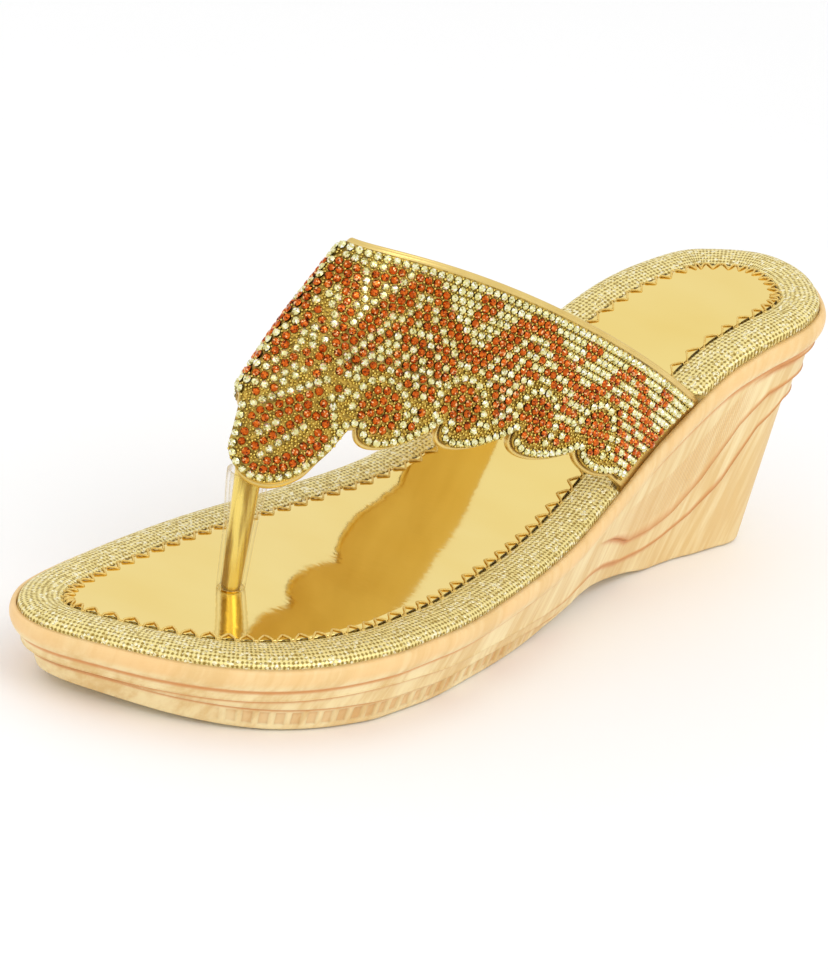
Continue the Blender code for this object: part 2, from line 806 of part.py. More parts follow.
def material(name, colour, roughness, metallic=0.0, alpha=1.0):
    made = bpy.data.materials.new(name)
    made.use_nodes = True
    shader = made.node_tree.nodes["Principled BSDF"]
    shader.inputs["Base Color"].default_value = (*colour, 1.0)
    shader.inputs["Roughness"].default_value = roughness
    shader.inputs["Metallic"].default_value = metallic
    shader.inputs["Alpha"].default_value = alpha
    return made


def sole_centre():
    """Middle of the sole's bounding box, seen from above."""
    points = [point for one in side_rings() for point in one]
    xs = [point[0] for point in points]
    ys = [point[1] for point in points]
    return ((min(xs) + max(xs)) / 2, (min(ys) + max(ys)) / 2)


CENTRE = sole_centre()


def main():
    for thing in list(bpy.data.objects):
        bpy.data.objects.remove(thing, do_unlink=True)
    parts = bpy.data.collections.new("slip_on_heel")
    cutters = bpy.data.collections.new("cutters")
    for collection in (parts, cutters):
        bpy.context.scene.collection.children.link(collection)
    finishes = (
        (make_sole(parts), material("wood_look_sole", (0.84, 0.62, 0.33), 0.55)),
        (make_footbed(parts, cutters), material("glitter_fabric", (0.62, 0.50, 0.25), 0.5, 0.4)),
        (make_insole(parts, cutters), material("mirror_foil", (0.83, 0.62, 0.20), 0.1, 1.0)),
        (make_upper(parts), material("gold_leather", (0.70, 0.52, 0.18), 0.3, 0.8)),
        (make_panel(parts), material("stone_field", (0.50, 0.18, 0.04), 0.3)),
        (make_post(parts), material("gold_foil", (0.72, 0.52, 0.16), 0.2, 1.0)),
        (make_sleeve(parts), material("clear_plastic", (0.90, 0.84, 0.62), 0.08, 0.0, 0.35)),
    )
    for thing, finish in finishes:
        thing.data.materials.clear()
        thing.data.materials.append(finish)
        thing.data.shade_smooth()
        thing.data.set_sharp_from_angle(angle=math.radians(35))


if __name__ == "__main__":
    main()
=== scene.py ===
# %% [markdown]
# # A slip-on wedge sandal for the left foot
# The model of the sandal is already there as solids. This file gives it its looks:
# the moulded sole, the padded bed, the mirror insole, the stitches, the strap with
# its stones, and the toe post. It works in millimetres, as a shoemaker's drawing
# does, and turns them into metres when a mesh is made.

# %% Load the solids
import math
from collections import namedtuple

import bmesh
import bpy
import numpy as np
from mathutils import Matrix, Vector, kdtree
from mathutils.bvhtree import BVHTree


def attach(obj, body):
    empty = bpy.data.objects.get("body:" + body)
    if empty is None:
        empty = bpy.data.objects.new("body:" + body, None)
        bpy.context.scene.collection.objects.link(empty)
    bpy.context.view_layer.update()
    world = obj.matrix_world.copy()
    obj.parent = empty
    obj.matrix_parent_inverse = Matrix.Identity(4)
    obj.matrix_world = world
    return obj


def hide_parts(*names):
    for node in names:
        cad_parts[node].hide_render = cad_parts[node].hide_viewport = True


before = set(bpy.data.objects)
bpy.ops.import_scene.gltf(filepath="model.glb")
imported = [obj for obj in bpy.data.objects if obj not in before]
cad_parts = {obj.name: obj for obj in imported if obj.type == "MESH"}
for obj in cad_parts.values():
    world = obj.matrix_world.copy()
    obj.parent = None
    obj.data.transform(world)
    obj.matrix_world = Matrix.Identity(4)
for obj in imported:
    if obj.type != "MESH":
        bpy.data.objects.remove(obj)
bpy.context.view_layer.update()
print("solids", sorted(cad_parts))

# %% [markdown]
# ## The sizes that the last is drawn from
# A last is the wooden foot that a shoe is built round. Its outline could be traced
# as hundreds of points, but a short table of sections is easier to read and to
# change. The sizes and tables are the solids' own, written here again. Only the
# stone mat's margins at the back edge and at the rim are smaller here.

# %% Sizes in millimetres
SOLE_LENGTH, BALL_WIDTH = 250.0, 83.0
HEEL_RIM, FOREFOOT_RIM = 68.0, 18.0
ARCH_RISE, TOE_SPRING = 4.0, 3.0
SIDE_TAPER, HEEL_RAKE = 5.6, 9.0
LIP_OUT, LIP_DROP = 2.4, 6.0
STEP_DEPTH, STEP_FALL = 0.9, 0.7
SEAT_DEPTH, FLOOR_CHAMFER = 4.0, 0.8
CLEARANCE = 0.3
BINDING_WIDTH, BINDING_PUFF, HEEL_PAD = 11.0, 2.2, 1.0
INSOLE_THICKNESS, INSOLE_SINK = 0.6, 0.4
STRAP_THICKNESS = 1.6
CROWN_RISE, NOSE_RISE = 83.0, 42.5
TUCK_DEPTH = 2.6
SCALLOP_RADIUS, SCALLOP_DEPTH = 12.4, 8.8
TEARDROP_RADIUS, TEARDROP_DEPTH = 12.9, 15.9
INNER_CUT_BACK = 8.5
PANEL_BACK_MARGIN, PANEL_FRONT_MARGIN, PANEL_BASE_MARGIN = 1.2, 0.9, 2.6
POST_RADIUS, POST_TOP_RADIUS = 2.3, 3.5
SLEEVE_WALL, SLEEVE_GAP, POST_SET_BACK = 0.9, 1.2, 1.2


# %% The tables, in shares of the length, the width and the heights above
def table(names, *rows):
    """The columns of a table, by name."""
    return dict(zip(names.split(), np.transpose(rows)))


OUTLINE = table(
    "along lateral medial",
    (0.00, 0.000, 0.000), (0.02, 0.193, -0.169), (0.05, 0.288, -0.270), (0.10, 0.325, -0.325),
    (0.15, 0.308, -0.355), (0.20, 0.292, -0.370), (0.30, 0.312, -0.383), (0.40, 0.375, -0.378),
    (0.50, 0.450, -0.386), (0.60, 0.512, -0.416), (0.70, 0.552, -0.446), (0.75, 0.552, -0.453),
    (0.80, 0.525, -0.456), (0.85, 0.465, -0.453), (0.90, 0.359, -0.441), (0.95, 0.175, -0.404),
    (0.98, -0.006, -0.343), (1.00, -0.211, -0.211))
RIM = table(
    "along rise",
    (0.00, 1.00), (0.15, 0.82), (0.30, 0.49), (0.45, 0.20), (0.60, 0.10), (0.75, 0.06), (0.90, 0.01),
    (1.00, 0.00))
UNDERSIDE = table(
    "along arch spring",
    (0.00, 0.00, 0.0), (0.24, 0.00, 0.0), (0.29, 0.45, 0.0), (0.34, 0.85, 0.0), (0.39, 1.00, 0.0),
    (0.45, 0.40, 0.0), (0.51, 0.08, 0.0), (0.56, 0.00, 0.0), (0.86, 0.00, 0.0), (0.93, 0.00, 0.3),
    (1.00, 0.00, 1.0))
SIDE_LINES = table(
    "along fin inner outer ledge",
    (0.00, 0.86, 0.75, 0.66, 0.08), (0.08, 0.87, 0.76, 0.66, 0.08), (0.12, 0.88, 0.75, 0.58, 0.08),
    (0.16, 0.86, 0.66, 0.38, 0.08), (0.20, 0.78, 0.46, 0.26, 0.08), (0.24, 0.70, 0.36, 0.21, 0.08),
    (0.28, 0.66, 0.31, 0.16, 0.07), (0.32, 0.66, 0.32, 0.15, 0.07), (0.36, 0.68, 0.47, 0.20, 0.08),
    (0.40, 0.70, 0.60, 0.24, 0.09), (0.45, 0.70, 0.61, 0.26, 0.10), (0.52, 0.70, 0.61, 0.37, 0.22),
    (0.60, 0.69, 0.60, 0.44, 0.28), (0.70, 0.68, 0.60, 0.50, 0.29), (0.80, 0.68, 0.64, 0.59, 0.33),
    (0.90, 0.68, 0.65, 0.61, 0.36), (1.00, 0.68, 0.65, 0.61, 0.36))
STEPS = table(
    "along fin inner outer ledge",
    (0.00, 1.2, 1.2, 1.2, 0.0), (0.12, 1.2, 1.2, 1.2, 0.0), (0.17, 0.0, 1.0, 1.2, 0.0),
    (0.36, 0.0, 1.0, 1.2, 0.0), (0.41, 0.0, 0.0, 1.0, 0.0), (0.46, 0.0, 0.0, 1.0, 1.0),
    (1.00, 0.0, 0.0, 1.0, 1.0))
SPINE = table(
    "across bow",
    (-0.35, -0.0520), (-0.20, -0.0220), (-0.10, -0.0080), (0.00, 0.0000), (0.30, 0.0168),
    (0.60, 0.0152), (0.85, 0.0052), (1.00, 0.0000))

Wing = namedtuple("Wing", "side front_base back_base back_spread back_round back_fall "
                          "front_spread front_fall")
OUTER_WING = Wing(1, 0.375, 0.24, 1.62, 2.2, 1.35, 1.22, 3.0)
INNER_WING = Wing(-1, 0.375, 0.24, 1.10, 2.0, 0.62, 1.05, 1.0)
CROWN_ALONG, CROWN_ACROSS = 0.680, -0.048
NOSE_ALONG, NOSE_ACROSS = 0.812, -0.060
FRONT_LIFT = 2.0
TEARDROP_PLACE = 0.204
# Each scallop's place round the strap, and its share of the full depth
SCALLOPS = ((-0.900, 0.40), (-0.760, 0.90), (-0.605, 1.00), (-0.430, 0.90), (-0.250, 0.50),
            (0.440, 0.85), (0.605, 1.00), (0.757, 0.95), (0.893, 0.42))
CUT_BACK_HOLD, CUT_BACK_END = -0.12, -0.50
POST_ALONG, POST_ACROSS = 0.808, -0.006
POST_HEAD_PLACE, POST_HEAD_ACROSS = 0.105, -0.115
for name, rows in (("outline", OUTLINE), ("rim", RIM), ("side lines", SIDE_LINES)):
    print(name, "has", len(rows["along"]), "sections")

# %% [markdown]
# ## Curves through the tables
# A straight line between rows would leave kinks. A cubic that lies level at every
# crest and hollow keeps the curve smooth and never swings past the table's values.


# %% Read a table at any place
def smooth_curve(xs, ys, at):
    at = np.clip(at, xs[0], xs[-1])
    step = np.diff(xs)
    rise = np.diff(ys) / step
    slope = np.concatenate([rise[:1], rise[1:], rise[-1:]])
    blend = (rise[:-1] * step[1:] + rise[1:] * step[:-1]) / (step[1:] + step[:-1])
    slope[1:-1] = np.where(rise[:-1] * rise[1:] <= 0, 0.0, blend)
    i = np.clip(np.searchsorted(xs, at) - 1, 0, len(xs) - 2)
    t = (at - xs[i]) / step[i]
    return ((2 * t ** 3 - 3 * t ** 2 + 1) * ys[i] + (t ** 3 - 2 * t ** 2 + t) * step[i] * slope[i]
            + (3 * t ** 2 - 2 * t ** 3) * ys[i + 1] + (t ** 3 - t ** 2) * step[i] * slope[i + 1])


def smooth(rows, name, at):
    first, *_ = rows.values()
    return smooth_curve(first, rows[name], np.asarray(at, float))


def straight(rows, name, at):
    return np.interp(at, rows["along"], rows[name])


def ramp(low, high, value):
    """0 below low, 1 above high, and a soft step between them."""
    t = np.clip((np.asarray(value, float) - low) / (high - low), 0, 1)
    return t * t * (3 - 2 * t)


def unit(vectors):
    return vectors / np.maximum(np.linalg.norm(vectors, axis=-1, keepdims=True), 1e-9)


def run_along(points):
    """How far along a path each of its points lies."""
    return np.concatenate([[0], np.cumsum(np.linalg.norm(np.diff(points, axis=0), axis=1))])


def circle(count):
    return 2 * math.pi * np.arange(count) / count


# %% The sole's outline, rim and underside
RAKE_END, RAKE_POWER = 0.3, 1.5
PAD_END, PAD_FADE = 0.55, 0.35


def edge_y(along, side):
    angles = np.arccos(1 - 2 * OUTLINE["along"])
    at = np.arccos(np.clip(1 - 2 * along, -1, 1))
    outer, inner = (smooth_curve(angles, OUTLINE[name], at) for name in ("lateral", "medial"))
    return BALL_WIDTH * np.where(side > 0, outer, inner)


def rim_z(along):
    return FOREFOOT_RIM + (HEEL_RIM - FOREFOOT_RIM) * smooth(RIM, "rise", along)


def under_z(along):
    return ARCH_RISE * smooth(UNDERSIDE, "arch", along) + TOE_SPRING * smooth(UNDERSIDE, "spring", along)


def side_height(along):
    return rim_z(along) - under_z(along)


def heel_pad(along):
    return HEEL_PAD * np.clip((PAD_END - along) / PAD_FADE, 0, 1)


def plan(turn):
    """Share along and plan position at a turn round the outline, from the heel's back."""
    along = (1 - np.cos(turn)) / 2
    side = np.where(np.sin(turn) >= 0, 1, -1)
    return along, np.stack([along * SOLE_LENGTH, edge_y(along, side)], -1)


def outline_at(turn):
    """Share along, plan position and outward direction."""
    along, spot = plan(turn)
    reach = math.pi / 100
    heading = unit(plan(turn + reach)[1] - plan(turn - reach)[1])
    return along, spot, np.stack([-heading[..., 1], heading[..., 0]], -1)


def side_point(turn, share, out):
    """A point on the sole's side: height share from floor to rim, pushed out by some millimetres."""
    along, spot, outward = outline_at(turn)
    push = out - SIDE_TAPER * (1 - share)
    rake = HEEL_RAKE * (1 - share) * np.maximum(0, 1 - along / RAKE_END) ** RAKE_POWER
    flat = spot + outward * push[..., None]
    return np.stack([flat[..., 0] + rake, flat[..., 1], under_z(along) + side_height(along) * share], -1)


def inside_point(turn, inset, lift):
    """A point inside the rim, some millimetres in from it and above the rim's height there."""
    along, spot, outward = outline_at(turn)
    flat = spot - outward * np.asarray(inset)[..., None]
    level = rim_z(np.clip(flat[..., 0] / SOLE_LENGTH, 0, 1)) + lift
    return np.concatenate([flat, level[..., None]], -1)


# %% Millimetres round the rim
FINE_TURNS = np.linspace(0, 2 * math.pi, 4001)
FINE_RUN = run_along(plan(FINE_TURNS)[1])
ROUND_RIM = FINE_RUN[-1]


def turn_at(run):
    return np.interp(run, FINE_RUN, FINE_TURNS)


def run_at(turn):
    return np.interp(turn, FINE_TURNS, FINE_RUN)


def both_sides(turns):
    """Turns from heel to toe, and the same places back along the inner side."""
    return np.concatenate([turns, 2 * math.pi - turns[-2:0:-1]])


def mirrored_run(turns):
    """How far from the heel's back each turn lies, counted on its own side."""
    return np.minimum(run_at(turns), ROUND_RIM - run_at(turns))


EVEN_TURNS = both_sides(turn_at(np.linspace(0, run_at(math.pi), 361)))
print("rim is %.0f mm round" % ROUND_RIM)

# %% [markdown]
# ## From points to a Blender object
# The origin lies at the middle of the sole's outline on the floor, so every mesh is
# moved there and scaled to metres in one place. Values that a finish needs, such as
# how near a point is to a moulded line, are kept on the mesh as attributes.


# %% Make a piece
def sole_centre():
    """Where the solids' origin lies in the drawing: the middle of the rim's bead, as they draw it."""
    turns = circle(100)
    side = side_height(plan(turns)[0])
    rings = [side_point(turns, 1 - LIP_DROP * drop / side, LIP_OUT * out)
             for drop, out in ((0.0, 0.0), (0.2, 0.72), (0.6, 1.0), (1.0, 0.7))]
    flat = np.concatenate(rings)[:, :2]
    return np.append((flat.min(0) + flat.max(0)) / 2, 0.0)


CENTRE = sole_centre()
print("origin lies at", CENTRE.round(3), "mm in the drawing")


def to_frame(points):
    return (np.asarray(points, float) - CENTRE) * 0.001


def face_outwards(mesh):
    """Turn all faces the same way, or their shading cancels out where they meet."""
    shape = bmesh.new()
    shape.from_mesh(mesh)
    bmesh.ops.recalc_face_normals(shape, faces=shape.faces)
    shape.to_mesh(mesh)
    shape.free()


def piece(name, points, faces, finish, slot, marks=None, corner_marks=None, flat=False, node=None):
    """A mesh object on the frame's body; marks are values at its points, kept as attributes."""
    mesh = bpy.data.meshes.new(name)
    mesh.from_pydata(to_frame(points).tolist(), [], faces)
    if not flat:
        face_outwards(mesh)
    for domain, given in (("POINT", marks), ("CORNER", corner_marks)):
        for key, values in (given or {}).items():
            kept = mesh.attributes.new(key, "FLOAT", domain)
            kept.data.foreach_set("value", np.asarray(values, np.float32).ravel())
    mesh.update()
    thing = bpy.data.objects.new(name, mesh)
    bpy.context.scene.collection.objects.link(thing)
    mesh.materials.append(finish)
    if flat:
        mesh.shade_flat()
    else:
        mesh.shade_smooth()
    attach(thing, "root")
    if node:
        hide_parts(node)
    mesh.calc_loop_triangles()
    print("%-18s %7d triangles" % (name, len(mesh.loop_triangles)))
    return thing


# %% Faces between rings of points
def turned(faces):
    return [face[::-1] for face in faces]


def closed_rings(rows, count, wrap=False):
    """Quads between neighbouring rings, and from the last ring to the first where they wrap."""
    faces = []
    for row in range(rows if wrap else rows - 1):
        a, b = row * count, (row + 1) % rows * count
        faces += [(a + i, b + i, b + (i + 1) % count, a + (i + 1) % count) for i in range(count)]
    return faces


def ring_caps(rows, count):
    """One face over the first ring and one over the last."""
    return [tuple(range(count))[::-1], tuple(range((rows - 1) * count, rows * count))]


def cross_strips(first, count):
    """Cap of a ring whose two sides have matching places: strips from side to side."""
    half = count // 2
    strips = [(first + i, first + i + 1, first + count - i - 1, first + count - i)
              for i in range(1, half - 1)]
    return ([(first, first + 1, first + count - 1)] + strips
            + [(first + half - 1, first + half, first + half + 1)])


def cross_grid(ring, lanes, surface):
    """Points and faces that fill a ring from side to side, with points between that lie on a surface."""
    count, half = len(ring), len(ring) // 2
    shares = (1 - np.cos(np.pi * np.arange(1, lanes) / lanes)) / 2
    left, right = ring[1:half], ring[:half:-1]
    inner = left[:, None, :] + (right - left)[:, None, :] * shares[None, :, None]
    inner[..., 2] = surface(inner)

    def at(row, lane):
        if lane == 0:
            return row
        return count - row if lane == lanes else count + (row - 1) * (lanes - 1) + lane - 1

    faces = []
    for lane in range(lanes):
        faces.append((0, at(1, lane), at(1, lane + 1)))
        faces.append((half, at(half - 1, lane + 1), at(half - 1, lane)))
        faces += [(at(row, lane), at(row + 1, lane), at(row + 1, lane + 1), at(row, lane + 1))
                  for row in range(1, half - 1)]
    return inner.reshape(-1, 3), faces


# %% [markdown]
# ## The camera
# The photo looks down on the outer side from in front of the toe. The camera stands
# a metre away with a long lens, as in a product studio, and is rolled a little, so
# that the floor under the sandal slopes as it does in the photo.

# %% Place the camera
LOOK_AT = np.array([125.0, 0.0, 30.0])
AZIMUTH, ELEVATION, ROLL = math.radians(38.94), math.radians(22.39), math.radians(-8.05)
DISTANCE = 1065.05
FOCAL_PIXELS = 4257.09
PICTURE_HEIGHT = 969
SHIFT_RIGHT, SHIFT_DOWN = 37.19, 5.41


def direction(azimuth, elevation):
    return np.array([math.cos(elevation) * math.cos(azimuth), math.cos(elevation) * math.sin(azimuth),
                     math.sin(elevation)])


backward = direction(AZIMUTH, ELEVATION)
level_right = np.array([-math.sin(AZIMUTH), math.cos(AZIMUTH), 0.0])
level_up = np.cross(backward, level_right)
camera_right = math.cos(ROLL) * level_right - math.sin(ROLL) * level_up
camera_up = math.sin(ROLL) * level_right + math.cos(ROLL) * level_up

eye = bpy.data.cameras.new("camera")
eye.sensor_width = 36.0
eye.lens = FOCAL_PIXELS * eye.sensor_width / PICTURE_HEIGHT
eye.shift_x = -SHIFT_RIGHT / PICTURE_HEIGHT
eye.shift_y = SHIFT_DOWN / PICTURE_HEIGHT
eye.clip_end = 20.0
camera = bpy.data.objects.new("camera", eye)
bpy.context.scene.collection.objects.link(camera)
axes = Matrix([[camera_right[i], camera_up[i], backward[i]] for i in range(3)]).to_4x4()
camera.matrix_world = Matrix.Translation(Vector(to_frame(LOOK_AT + backward * DISTANCE))) @ axes
bpy.context.scene.camera = camera
print("lens %.1f mm, eye at %s m" % (eye.lens, np.round(camera.location, 3)))

# %% [markdown]
# ## Shader sums that read as sums
# A finish is a recipe with numbers that change over the surface. Wrapping a socket
# in a small class lets the recipe be written as arithmetic. The class adds the Math
# nodes; one method adds every other node.


# %% A socket with arithmetic, and a material that adds nodes
class Amount:
    """A socket with the arithmetic of Math nodes."""

    def __init__(self, paint, socket):
        self.paint = paint
        self.socket = socket

    def sum(self, operation, first, second=0.0):
        return self.paint.node("ShaderNodeMath", {"operation": operation}, {0: first, 1: second})

    def __add__(self, other):
        return self.sum("ADD", self, other)

    def __sub__(self, other):
        return self.sum("SUBTRACT", self, other)

    def __rsub__(self, other):
        return self.sum("SUBTRACT", other, self)

    def __mul__(self, other):
        return self.sum("MULTIPLY", self, other)

    def sine(self):
        return self.sum("SINE", self)

    def between(self, low, high):
        """0 at low, 1 at high, with a soft step."""
        return self.paint.node("ShaderNodeMapRange", {"interpolation_type": "SMOOTHSTEP"},
                               {"Value": self, "From Min": low, "From Max": high})

    __radd__ = __add__
    __rmul__ = __mul__


def tone(red, green, blue):
    """A colour as a picture shows it, from 0 to 255, as the linear light that a shader wants."""
    light = [((v / 255 + 0.055) / 1.055) ** 2.4 if v > 10 else v / 255 / 12.92
             for v in (red, green, blue)]
    return (*light, 1.0)


class Paint:
    """One material and its nodes."""

    def __init__(self, name):
        self.material = bpy.data.materials.new(name)
        self.material.use_nodes = True
        self.tree = self.material.node_tree
        self.shader = self.tree.nodes["Principled BSDF"]

    def feed(self, socket, value):
        if isinstance(value, Amount):
            self.tree.links.new(value.socket, socket)
        else:
            socket.default_value = value

    def node(self, kind, settings, sockets, out=0):
        made = self.tree.nodes.new(kind)
        for key, value in settings.items():
            setattr(made, key, value)
        for key, value in sockets.items():
            self.feed(made.inputs[key], value)
        return Amount(self, made.outputs[out])

    def mark(self, name):
        return self.node("ShaderNodeAttribute", {"attribute_name": name}, {}, "Fac")

    def place(self, stretch=(1.0, 1.0, 1.0), tilt=0.0):
        """The piece's own coordinates, in metres, tilted towards the toe and stretched."""
        spot = self.node("ShaderNodeTexCoord", {}, {}, "Object")
        tilted = self.node("ShaderNodeMapping", {}, {"Vector": spot, "Rotation": (0.0, tilt, 0.0)})
        return self.node("ShaderNodeVectorMath", {"operation": "MULTIPLY"}, {0: tilted, 1: stretch})

    def noise(self, scale, detail=2.0, roughness=0.5, stretch=(1.0, 1.0, 1.0), tilt=0.0):
        return self.node("ShaderNodeTexNoise", {}, {"Vector": self.place(stretch, tilt), "Scale": scale,
                                                    "Detail": detail, "Roughness": roughness})

    def grains(self, scale):
        """A random number for each small cell."""
        colour = self.node("ShaderNodeTexVoronoi", {}, {"Vector": self.place(), "Scale": scale}, "Color")
        return self.node("ShaderNodeSeparateColor", {}, {0: colour}, "Red")

    def mix(self, share, low, high):
        """From one colour to the other; each is a tone's three numbers or a colour made before."""
        low, high = (v if isinstance(v, Amount) else tone(*v) for v in (low, high))
        return self.node("ShaderNodeMix", {"data_type": "RGBA"}, {0: share, 6: low, 7: high}, 2)

    def bump(self, height, distance, strength=0.6):
        return self.node("ShaderNodeBump", {}, {"Height": height, "Distance": distance,
                                                "Strength": strength})

    def finish(self, **values):
        for key, value in values.items():
            self.feed(self.shader.inputs[key.replace("_", " ")], value)
        return self.material


# %% [markdown]
# ## The floor and the light
# The photo was taken in soft light on white. A white floor, a bright surrounding and
# two large lamps give the same, and the mirror insole needs that bright surrounding:
# a mirror has no colour of its own apart from its tint.

# %% Floor, surroundings and lamps
FLOOR_REACH, FLOOR_DROP = 6.0, 0.0003
LAMP_AIM = 0.04


def make_floor():
    paint = Paint("studio_floor")
    finish = paint.finish(Base_Color=paint.mix(paint.noise(3.0), (250, 250, 250), (255, 255, 255)),
                          Roughness=0.7)
    mesh = bpy.data.meshes.new("studio_floor")
    corners = [(x * FLOOR_REACH, y * FLOOR_REACH, 0) for x, y in ((-1, -1), (1, -1), (1, 1), (-1, 1))]
    mesh.from_pydata(corners, [], [(0, 1, 2, 3)])
    mesh.materials.append(finish)
    floor = bpy.data.objects.new("studio_floor", mesh)
    floor.location.z = -FLOOR_DROP
    bpy.context.scene.collection.objects.link(floor)


def make_lamp(name, azimuth, elevation, distance, size, power):
    light = bpy.data.lights.new(name, "AREA")
    light.shape = "SQUARE"
    light.size = size
    light.energy = power
    lamp = bpy.data.objects.new(name, light)
    way = Vector(direction(math.radians(azimuth), math.radians(elevation)))
    lamp.location = way * distance + Vector((0, 0, LAMP_AIM))
    lamp.rotation_euler = way.to_track_quat("Z", "Y").to_euler()
    bpy.context.scene.collection.objects.link(lamp)


make_floor()
world = bpy.data.worlds.new("studio")
world.use_nodes = True
world.node_tree.nodes["Background"].inputs["Color"].default_value = (1.0, 1.0, 1.0, 1.0)
world.node_tree.nodes["Background"].inputs["Strength"].default_value = 0.93
bpy.context.scene.world = world
bpy.context.scene.view_settings.view_transform = "Standard"
make_lamp("key", 80, 50, 1.6, 0.9, 5.0)
make_lamp("fill", 5, 40, 1.8, 1.2, 1.5)

# %% [markdown]
# ## The moulded sole
# The real sole is one foam moulding, painted to look like wood: pale, with fine
# grain, a warmer bead round the rim and warm paint left in the moulded lines. The
# solid has these steps already; here they get rounded lips and grooves, and the row
# of small pockets in the lower band of the forefoot.

# %% Lines, pockets and paint on the sole's side
# The bead's section in shares of LIP_DROP and LIP_OUT
BEAD = table(
    "drop out",
    (0.00, 0.00), (0.05, 0.40), (0.18, 0.72), (0.38, 0.94), (0.60, 1.00), (0.80, 0.93), (0.94, 0.74),
    (1.00, 0.52))
BEAD_ROWS, BEAD_FOOT = 15, 0.45
BEAD_PAINT, BEAD_WARMTH = (0.8, 1.0), (0.45, 0.9)
POCKET_PITCH, POCKET_WIDTH, POCKET_DEPTH = 4.3, 2.8, 0.5
POCKET_LOW, POCKET_HIGH, POCKET_RIM = 0.20, 0.80, 0.05
POCKET_START, POCKET_END = 0.47, 0.95
POCKET_WALL = 0.2
LINE_OFFSETS = (0.42, 0.28, 0.13, 0.0, -0.13, -0.28, -0.42)
LINE_GAP = 1.5 * STEP_FALL
# Across a moulded line, from 0 above it to 1 below it: where its lip, groove and step lie
LIP_RAISE, LIP_AT, LIP_SPREAD = 0.30, 0.2, 0.16
GROOVE_SINK, GROOVE_AT, GROOVE_SPREAD = 0.30, 0.85, 0.14
STEP_FROM, STEP_TO = 0.28, 0.78
# Paint fades below a line in millimetres; at the heel further down, and a little up too
PAINT_FADE, PAINT_STEP, PAINT_ROWS = 1.75, 0.7, 4
FORE_FADE, PAINT_ABOVE, HEEL_ABOVE = 0.55, 0.16, 0.5
HEEL_ZONE = 0.35, 0.6
LEAF_BEGINS, LEAF_ENDS = (0.13, 0.17), (0.33, 0.37)
# The rows of points that lead down to each moulded line
LINE_ROWS = {"fin": 6, "inner": 7, "outer": 8, "ledge": 10}


def side_turns():
    """Places from heel to toe on one side, with close ones at the pockets' edges."""
    length = run_at(math.pi)
    steps = np.array([0.0, POCKET_WALL, 1.0, 1.8, POCKET_WIDTH - POCKET_WALL, POCKET_WIDTH, 3.5])
    runs = (np.arange(0, length, POCKET_PITCH)[:, None] + steps).ravel()
    return both_sides(np.append(turn_at(runs[runs < length - POCKET_WALL]), math.pi))


def pocket_mask(turns, along, height):
    """1 inside the small pockets of the forefoot's lower band; height is a share of that band."""
    def bump_over(start, rise, end, fall, value):
        return ramp(start, start + rise, value) * (1 - ramp(end - fall, end, value))

    place = np.mod(run_at(np.minimum(turns, 2 * math.pi - turns)), POCKET_PITCH)
    sideways = bump_over(0.0, POCKET_WALL, POCKET_WIDTH, POCKET_WALL, place)
    up = bump_over(POCKET_LOW - POCKET_RIM, POCKET_RIM, POCKET_HIGH + POCKET_RIM, POCKET_RIM, height)
    return sideways * up * bump_over(POCKET_START, 0.08, POCKET_END, 0.06, along)


